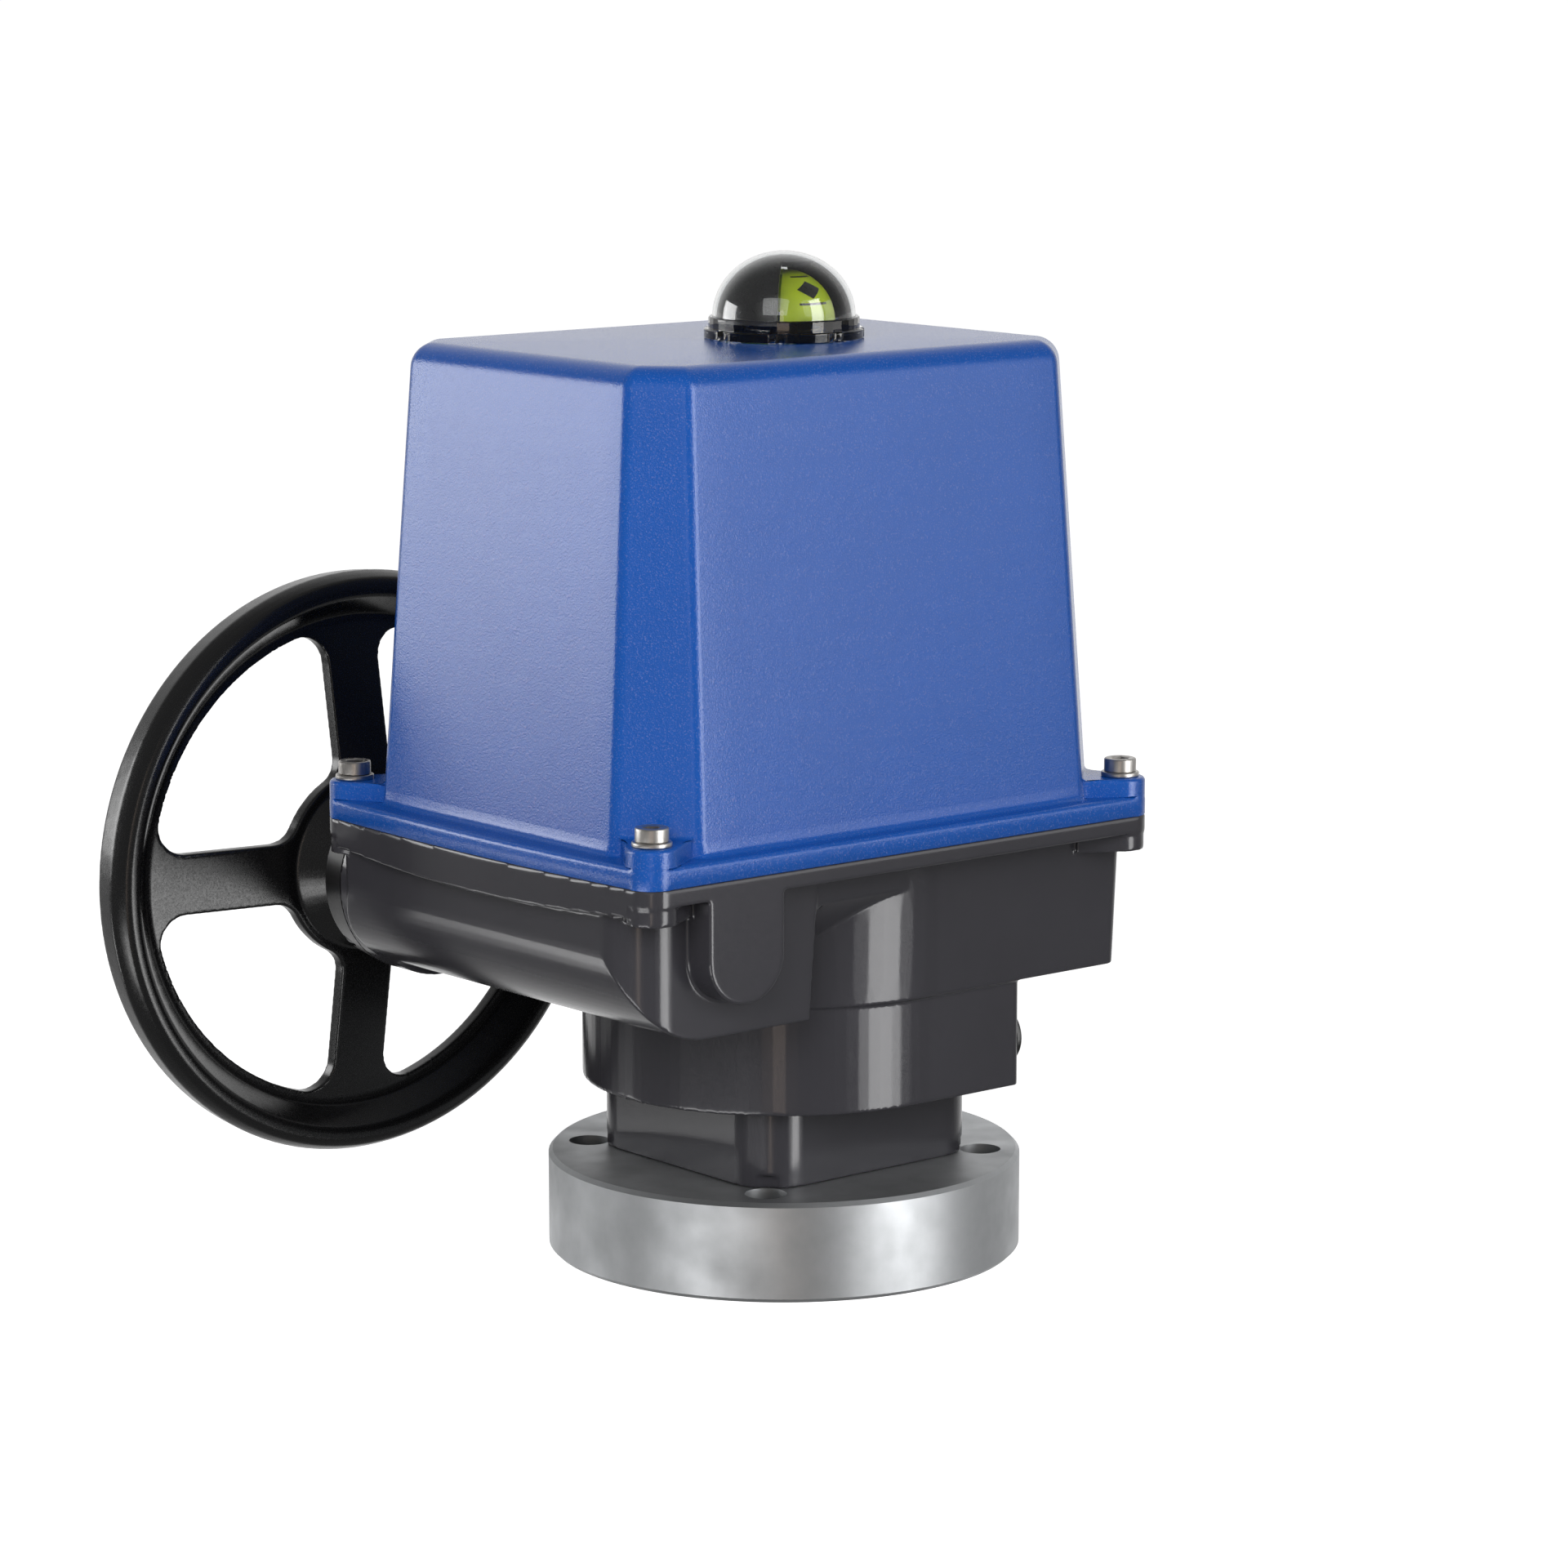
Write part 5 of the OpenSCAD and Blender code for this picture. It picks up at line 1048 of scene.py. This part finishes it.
class ACTUATOR_OT_screws(bpy.types.Operator):
    """Builds the cover's screws and washers"""

    bl_idname = "actuator.screws"
    bl_label = "Build screws and washers"

    def execute(self, context):
        tips = box_mm("cover_screws")[0].z
        low, high = (corner.z for corner in box_mm("cover_washers"))
        inner = settings().fasteners.thread / 2 + 0.2
        heads, rings = bmesh.new(), bmesh.new()
        for place in cover_screw_places():
            socket_screw(heads, place, high - tips)
            washer(rings, Matrix.Translation((0, 0, low - high)) @ place, inner, high - low)
        for bm, name, sharp, node in (
                (heads, "cover_screw_set", 32, "cover_screws"),
                (rings, "cover_washer_set", 50, "cover_washers")):
            add_piece(name, mesh_of(bm, name, sharp), BODY, "stainless", node)
        return {"FINISHED"}


def plug_mesh():
    """The two stop plugs: a domed disc and a slotted cone on a threaded end."""
    s = settings().fasteners
    low, high = box_mm("stop_plugs")
    radius = (high.z - low.z) / 2
    z = (high.z + low.z) / 2
    stand, disc, thread, tip = 3.4, 2.4, 5.0, 0.6
    wall_x = high.x - stand - disc
    end = low.x - wall_x
    profile = [(0, end), (thread - tip, end), (thread, end + tip), (thread, 0), (radius - 0.3, 0)]
    profile += arc(radius - s.plug_edge, disc - s.plug_edge - 0.5, s.plug_edge, 0, 75, 5)
    profile += [
        (0.66 * radius, disc), (0.62 * radius, disc + 0.25),
        (0.22 * radius, disc + stand - 0.2), (0.18 * radius, disc + stand), (0, disc + stand),
    ]
    plugs, slots = bmesh.new(), bmesh.new()
    slot = Matrix.Diagonal((stand * MM, 2 * radius * MM, s.plug_slot * MM, 1))
    for y in (low.y + radius, high.y - radius):
        turn = Matrix.Rotation(math.radians(90), 4, "Y")
        turned_solid(plugs, profile, 64, Matrix.Translation((wall_x, y, z)) @ turn)
        middle = Vector((wall_x + disc + 0.2 + stand / 2, y, z)) * MM
        bmesh.ops.create_cube(slots, size=1, matrix=Matrix.Translation(middle) @ slot)
    return mesh_of(plugs, "stop_plug_set", 35), mesh_of(slots, "plug_slots")


class ACTUATOR_OT_plugs(bpy.types.Operator):
    """Builds the slotted plugs over the stop screws"""

    bl_idname = "actuator.plugs"
    bl_label = "Build stop plugs"

    def execute(self, context):
        mesh, slots = plug_mesh()
        piece = add_piece("stop_plug_set", mesh, BODY, "black_plastic", "stop_plugs")
        cut(piece, slots)
        piece.data.set_sharp_from_angle(angle=math.radians(35))
        return {"FINISHED"}


# Finishes of the pieces that keep their CAD shape

class ACTUATOR_OT_finishes(bpy.types.Operator):
    """Gives every piece that keeps its CAD shape the finish of its slot"""

    bl_idname = "actuator.finishes"
    bl_label = "Finish the plain pieces"

    def execute(self, context):
        slot_of = {p["node"]: p["material_slot"] for p in frame["record"]["subparts"]}
        for name, node in frame["nodes"].items():
            if node.hide_render:
                continue
            node.data.materials.clear()
            node.data.materials.append(material_of(slot_of[name]))
        return {"FINISHED"}


# Studio

# Lamps on the colours: name, setting, azimuth and elevation in degrees, distance, width, height
PLAIN_LAMPS = (
    ("key_light", "key", -55, 27, 2.2, 1.6, 1.3),
    ("fill_light", "fill", 10, 22, 2.2, 1.2, 1.2),
)
# Upright lamps: name, setting, azimuth in degrees, then distance, width, low and high edge in m
UPRIGHT_LAMPS = (
    ("strip_light", "strip", 16.5, 1.6, 0.6, -0.6, 1.3),
    ("side_light", "side", -140, 1.8, 0.95, 0.04, 0.8),
    ("low_side_light", "side", -140.5, 1.8, 0.2, -0.85, -0.42),
    ("low_front_light", "low", -78, 1.8, 1.5, -1.2, -0.55),
    ("sheen_light", "sheen", 40, 2.0, 0.7, 0.0, 1.2),
    ("warm_strip", "warm", -43.5, 1.9, 0.2, -0.5, 0.9),
)
WARM = (1.0, 0.8, 0.66)
# A lamp's watts per square metre at a brightness of 1
POWER = 4
# Half the floor's side in metres, what it glows wherever it is seen, and its grey
FLOOR_HALF = 30.0
FLOOR_GLOW = 0.9
FLOOR_GREY = 0.82
# Cosines to the camera's side between which the gloss dims, and the white behind the dome ends
GLOSS_FADE = (-0.99, -0.2)
DOME_FADE = (-0.95, -0.85)


def aim_point():
    """The point that the camera and the lamps face."""
    return Vector((0, 0, settings().studio.aim_height * MM))


def direction(azimuth, elevation):
    """The unit vector from the object at an azimuth and elevation in degrees."""
    a, e = math.radians(azimuth), math.radians(elevation)
    return Vector((math.sin(a) * math.cos(e), -math.cos(a) * math.cos(e), math.sin(e)))


def softbox(name, azimuth, elevation, distance, width, height, brightness):
    """A large area light that faces the actuator's axis and isn't seen by the camera."""
    light = bpy.data.lights.new(name, "AREA")
    light.shape = "RECTANGLE"
    light.size, light.size_y = width, height
    light.energy = POWER * width * height * brightness
    lamp = bpy.data.objects.new(name, light)
    bpy.context.scene.collection.objects.link(lamp)
    towards = direction(azimuth, elevation)
    lamp.location = aim_point() + towards * distance
    lamp.rotation_euler = towards.to_track_quat("Z", "Y").to_euler()
    lamp.visible_camera = False
    return lamp


def upright_softbox(name, azimuth, distance, width, low, high, brightness):
    """A softbox that stands upright between two heights and shows in the gloss alone."""
    lamp = softbox(name, azimuth, 0, distance, width, high - low, brightness)
    lamp.location.z = (low + high) / 2
    lamp.visible_diffuse = False
    return lamp

def studio_world():
    """White behind the object, an even light on it, and a darker room in its gloss."""
    s = settings().studio
    world = bpy.data.worlds.new("studio")
    world.use_nodes = True
    made = Tree(world.node_tree)
    smooth = {"interpolation_type": "SMOOTHSTEP"}
    paths = made.add("ShaderNodeLightPath").outputs
    facing = made.add("ShaderNodeVectorMath", operation="DOT_PRODUCT")
    made.feed(made.add("ShaderNodeTexCoord").outputs["Generated"], facing.inputs[0])
    made.feed(direction(s.azimuth, 0), facing.inputs[1])
    room = facing.outputs["Value"]
    gloss = made.range(room, 1.0, s.room, *GLOSS_FADE, **smooth)
    # Through the clear dome, the white shows where the background lies and the room elsewhere
    behind = made.range(room, 1.0, 0.0, *DOME_FADE, **smooth)
    through = made.math("MULTIPLY", paths["Is Transmission Ray"], behind)
    seen = made.math("MAXIMUM", paths["Is Camera Ray"], through)
    by_gloss = made.between(paths["Is Glossy Ray"], s.ambient, gloss)
    light = made.add("ShaderNodeBackground", Color=(1, 1, 1, 1))
    made.feed(made.between(seen, by_gloss, 1.0), light.inputs["Strength"])
    output = made.add("ShaderNodeOutputWorld")
    made.feed(light.outputs["Background"], output.inputs["Surface"])
    bpy.context.scene.world = world


def floor_material():
    """A white floor that keeps the actuator's shadow."""
    material = bpy.data.materials.new("studio_floor")
    material.use_nodes = True
    made = Tree(material.node_tree)
    paths = made.add("ShaderNodeLightPath").outputs
    seen = made.math("MAXIMUM", paths["Is Camera Ray"], paths["Is Transmission Ray"])
    seen = made.math("MAXIMUM", seen, paths["Is Glossy Ray"])
    glow = made.add("ShaderNodeEmission")
    made.feed(made.math("MULTIPLY", seen, FLOOR_GLOW), glow.inputs["Strength"])
    matte = made.add("ShaderNodeBsdfDiffuse", Color=(FLOOR_GREY, FLOOR_GREY, FLOOR_GREY, 1))
    total = made.add("ShaderNodeAddShader")
    made.feed(glow.outputs["Emission"], total.inputs[0])
    made.feed(matte.outputs["BSDF"], total.inputs[1])
    output = made.add("ShaderNodeOutputMaterial")
    made.feed(total.outputs["Shader"], output.inputs["Surface"])
    return material


class ACTUATOR_OT_stage(bpy.types.Operator):
    """Sets up the camera, the floor, the lights and the white surroundings"""

    bl_idname = "actuator.stage"
    bl_label = "Set up studio"

    def execute(self, context):
        s = settings().studio
        scene = context.scene
        camera = bpy.data.cameras.new("camera")
        camera.sensor_width = 36
        camera.lens = s.lens
        camera.clip_start, camera.clip_end = 0.05, 60
        eye = bpy.data.objects.new("camera", camera)
        scene.collection.objects.link(eye)
        back = direction(s.azimuth, s.elevation)
        eye.location = aim_point() + back * s.distance * MM
        eye.rotation_euler = (-back).to_track_quat("-Z", "Y").to_euler()
        scene.camera = eye
        floor = bpy.data.meshes.new("studio_floor")
        half = FLOOR_HALF
        corners = [(-half, -half, 0), (half, -half, 0), (half, half, 0), (-half, half, 0)]
        floor.from_pydata(corners, [], [(0, 1, 2, 3)])
        floor.materials.append(floor_material())
        ground = bpy.data.objects.new("studio_floor", floor)
        scene.collection.objects.link(ground)
        ground.visible_glossy = False
        for name, setting, *place in PLAIN_LAMPS:
            softbox(name, *place, getattr(s, setting)).visible_glossy = False
        for name, setting, *place in UPRIGHT_LAMPS:
            lamp = upright_softbox(name, *place, getattr(s, setting))
            if setting == "warm":
                lamp.data.color = WARM
        studio_world()
        scene.view_settings.view_transform = "Standard"
        return {"FINISHED"}


class ACTUATOR_PT_panel(bpy.types.Panel):
    """Lists the steps of the dressing and its settings"""

    bl_idname = "ACTUATOR_PT_panel"
    bl_label = "Valve Actuator"
    bl_space_type = "VIEW_3D"
    bl_region_type = "UI"
    bl_category = "Actuator"

    def draw(self, context):
        layout = self.layout
        for operator in OPERATORS:
            layout.operator(operator.bl_idname)
        held = context.scene.actuator_dressing
        for group in ("cover", "casting", "indicator", "fasteners", "finish", "studio"):
            box = layout.box()
            box.label(text=group.capitalize())
            values = getattr(held, group)
            for name in values.__annotations__:
                box.prop(values, name)


OPERATORS = (
    ACTUATOR_OT_stage,
    ACTUATOR_OT_cover,
    ACTUATOR_OT_castings,
    ACTUATOR_OT_indicator,
    ACTUATOR_OT_screws,
    ACTUATOR_OT_plugs,
    ACTUATOR_OT_finishes,
)
GROUPS = (
    CoverSizes, CastingSizes, IndicatorSizes, FastenerSizes, FinishColours, StudioSizes,
    ActuatorDressing,
)


def register():
    for item in GROUPS + OPERATORS + (ACTUATOR_PT_panel,):
        bpy.utils.register_class(item)
    bpy.types.Scene.actuator_dressing = PointerProperty(type=ActuatorDressing)


def unregister():
    del bpy.types.Scene.actuator_dressing
    for item in reversed(GROUPS + OPERATORS + (ACTUATOR_PT_panel,)):
        bpy.utils.unregister_class(item)


def main():
    """Builds the whole dressing."""
    register()
    bpy.ops.actuator.stage()
    bpy.ops.actuator.cover()
    bpy.ops.actuator.castings()
    bpy.ops.actuator.indicator()
    bpy.ops.actuator.screws()
    bpy.ops.actuator.plugs()
    bpy.ops.actuator.finishes()


if __name__ == "__main__":
    main()
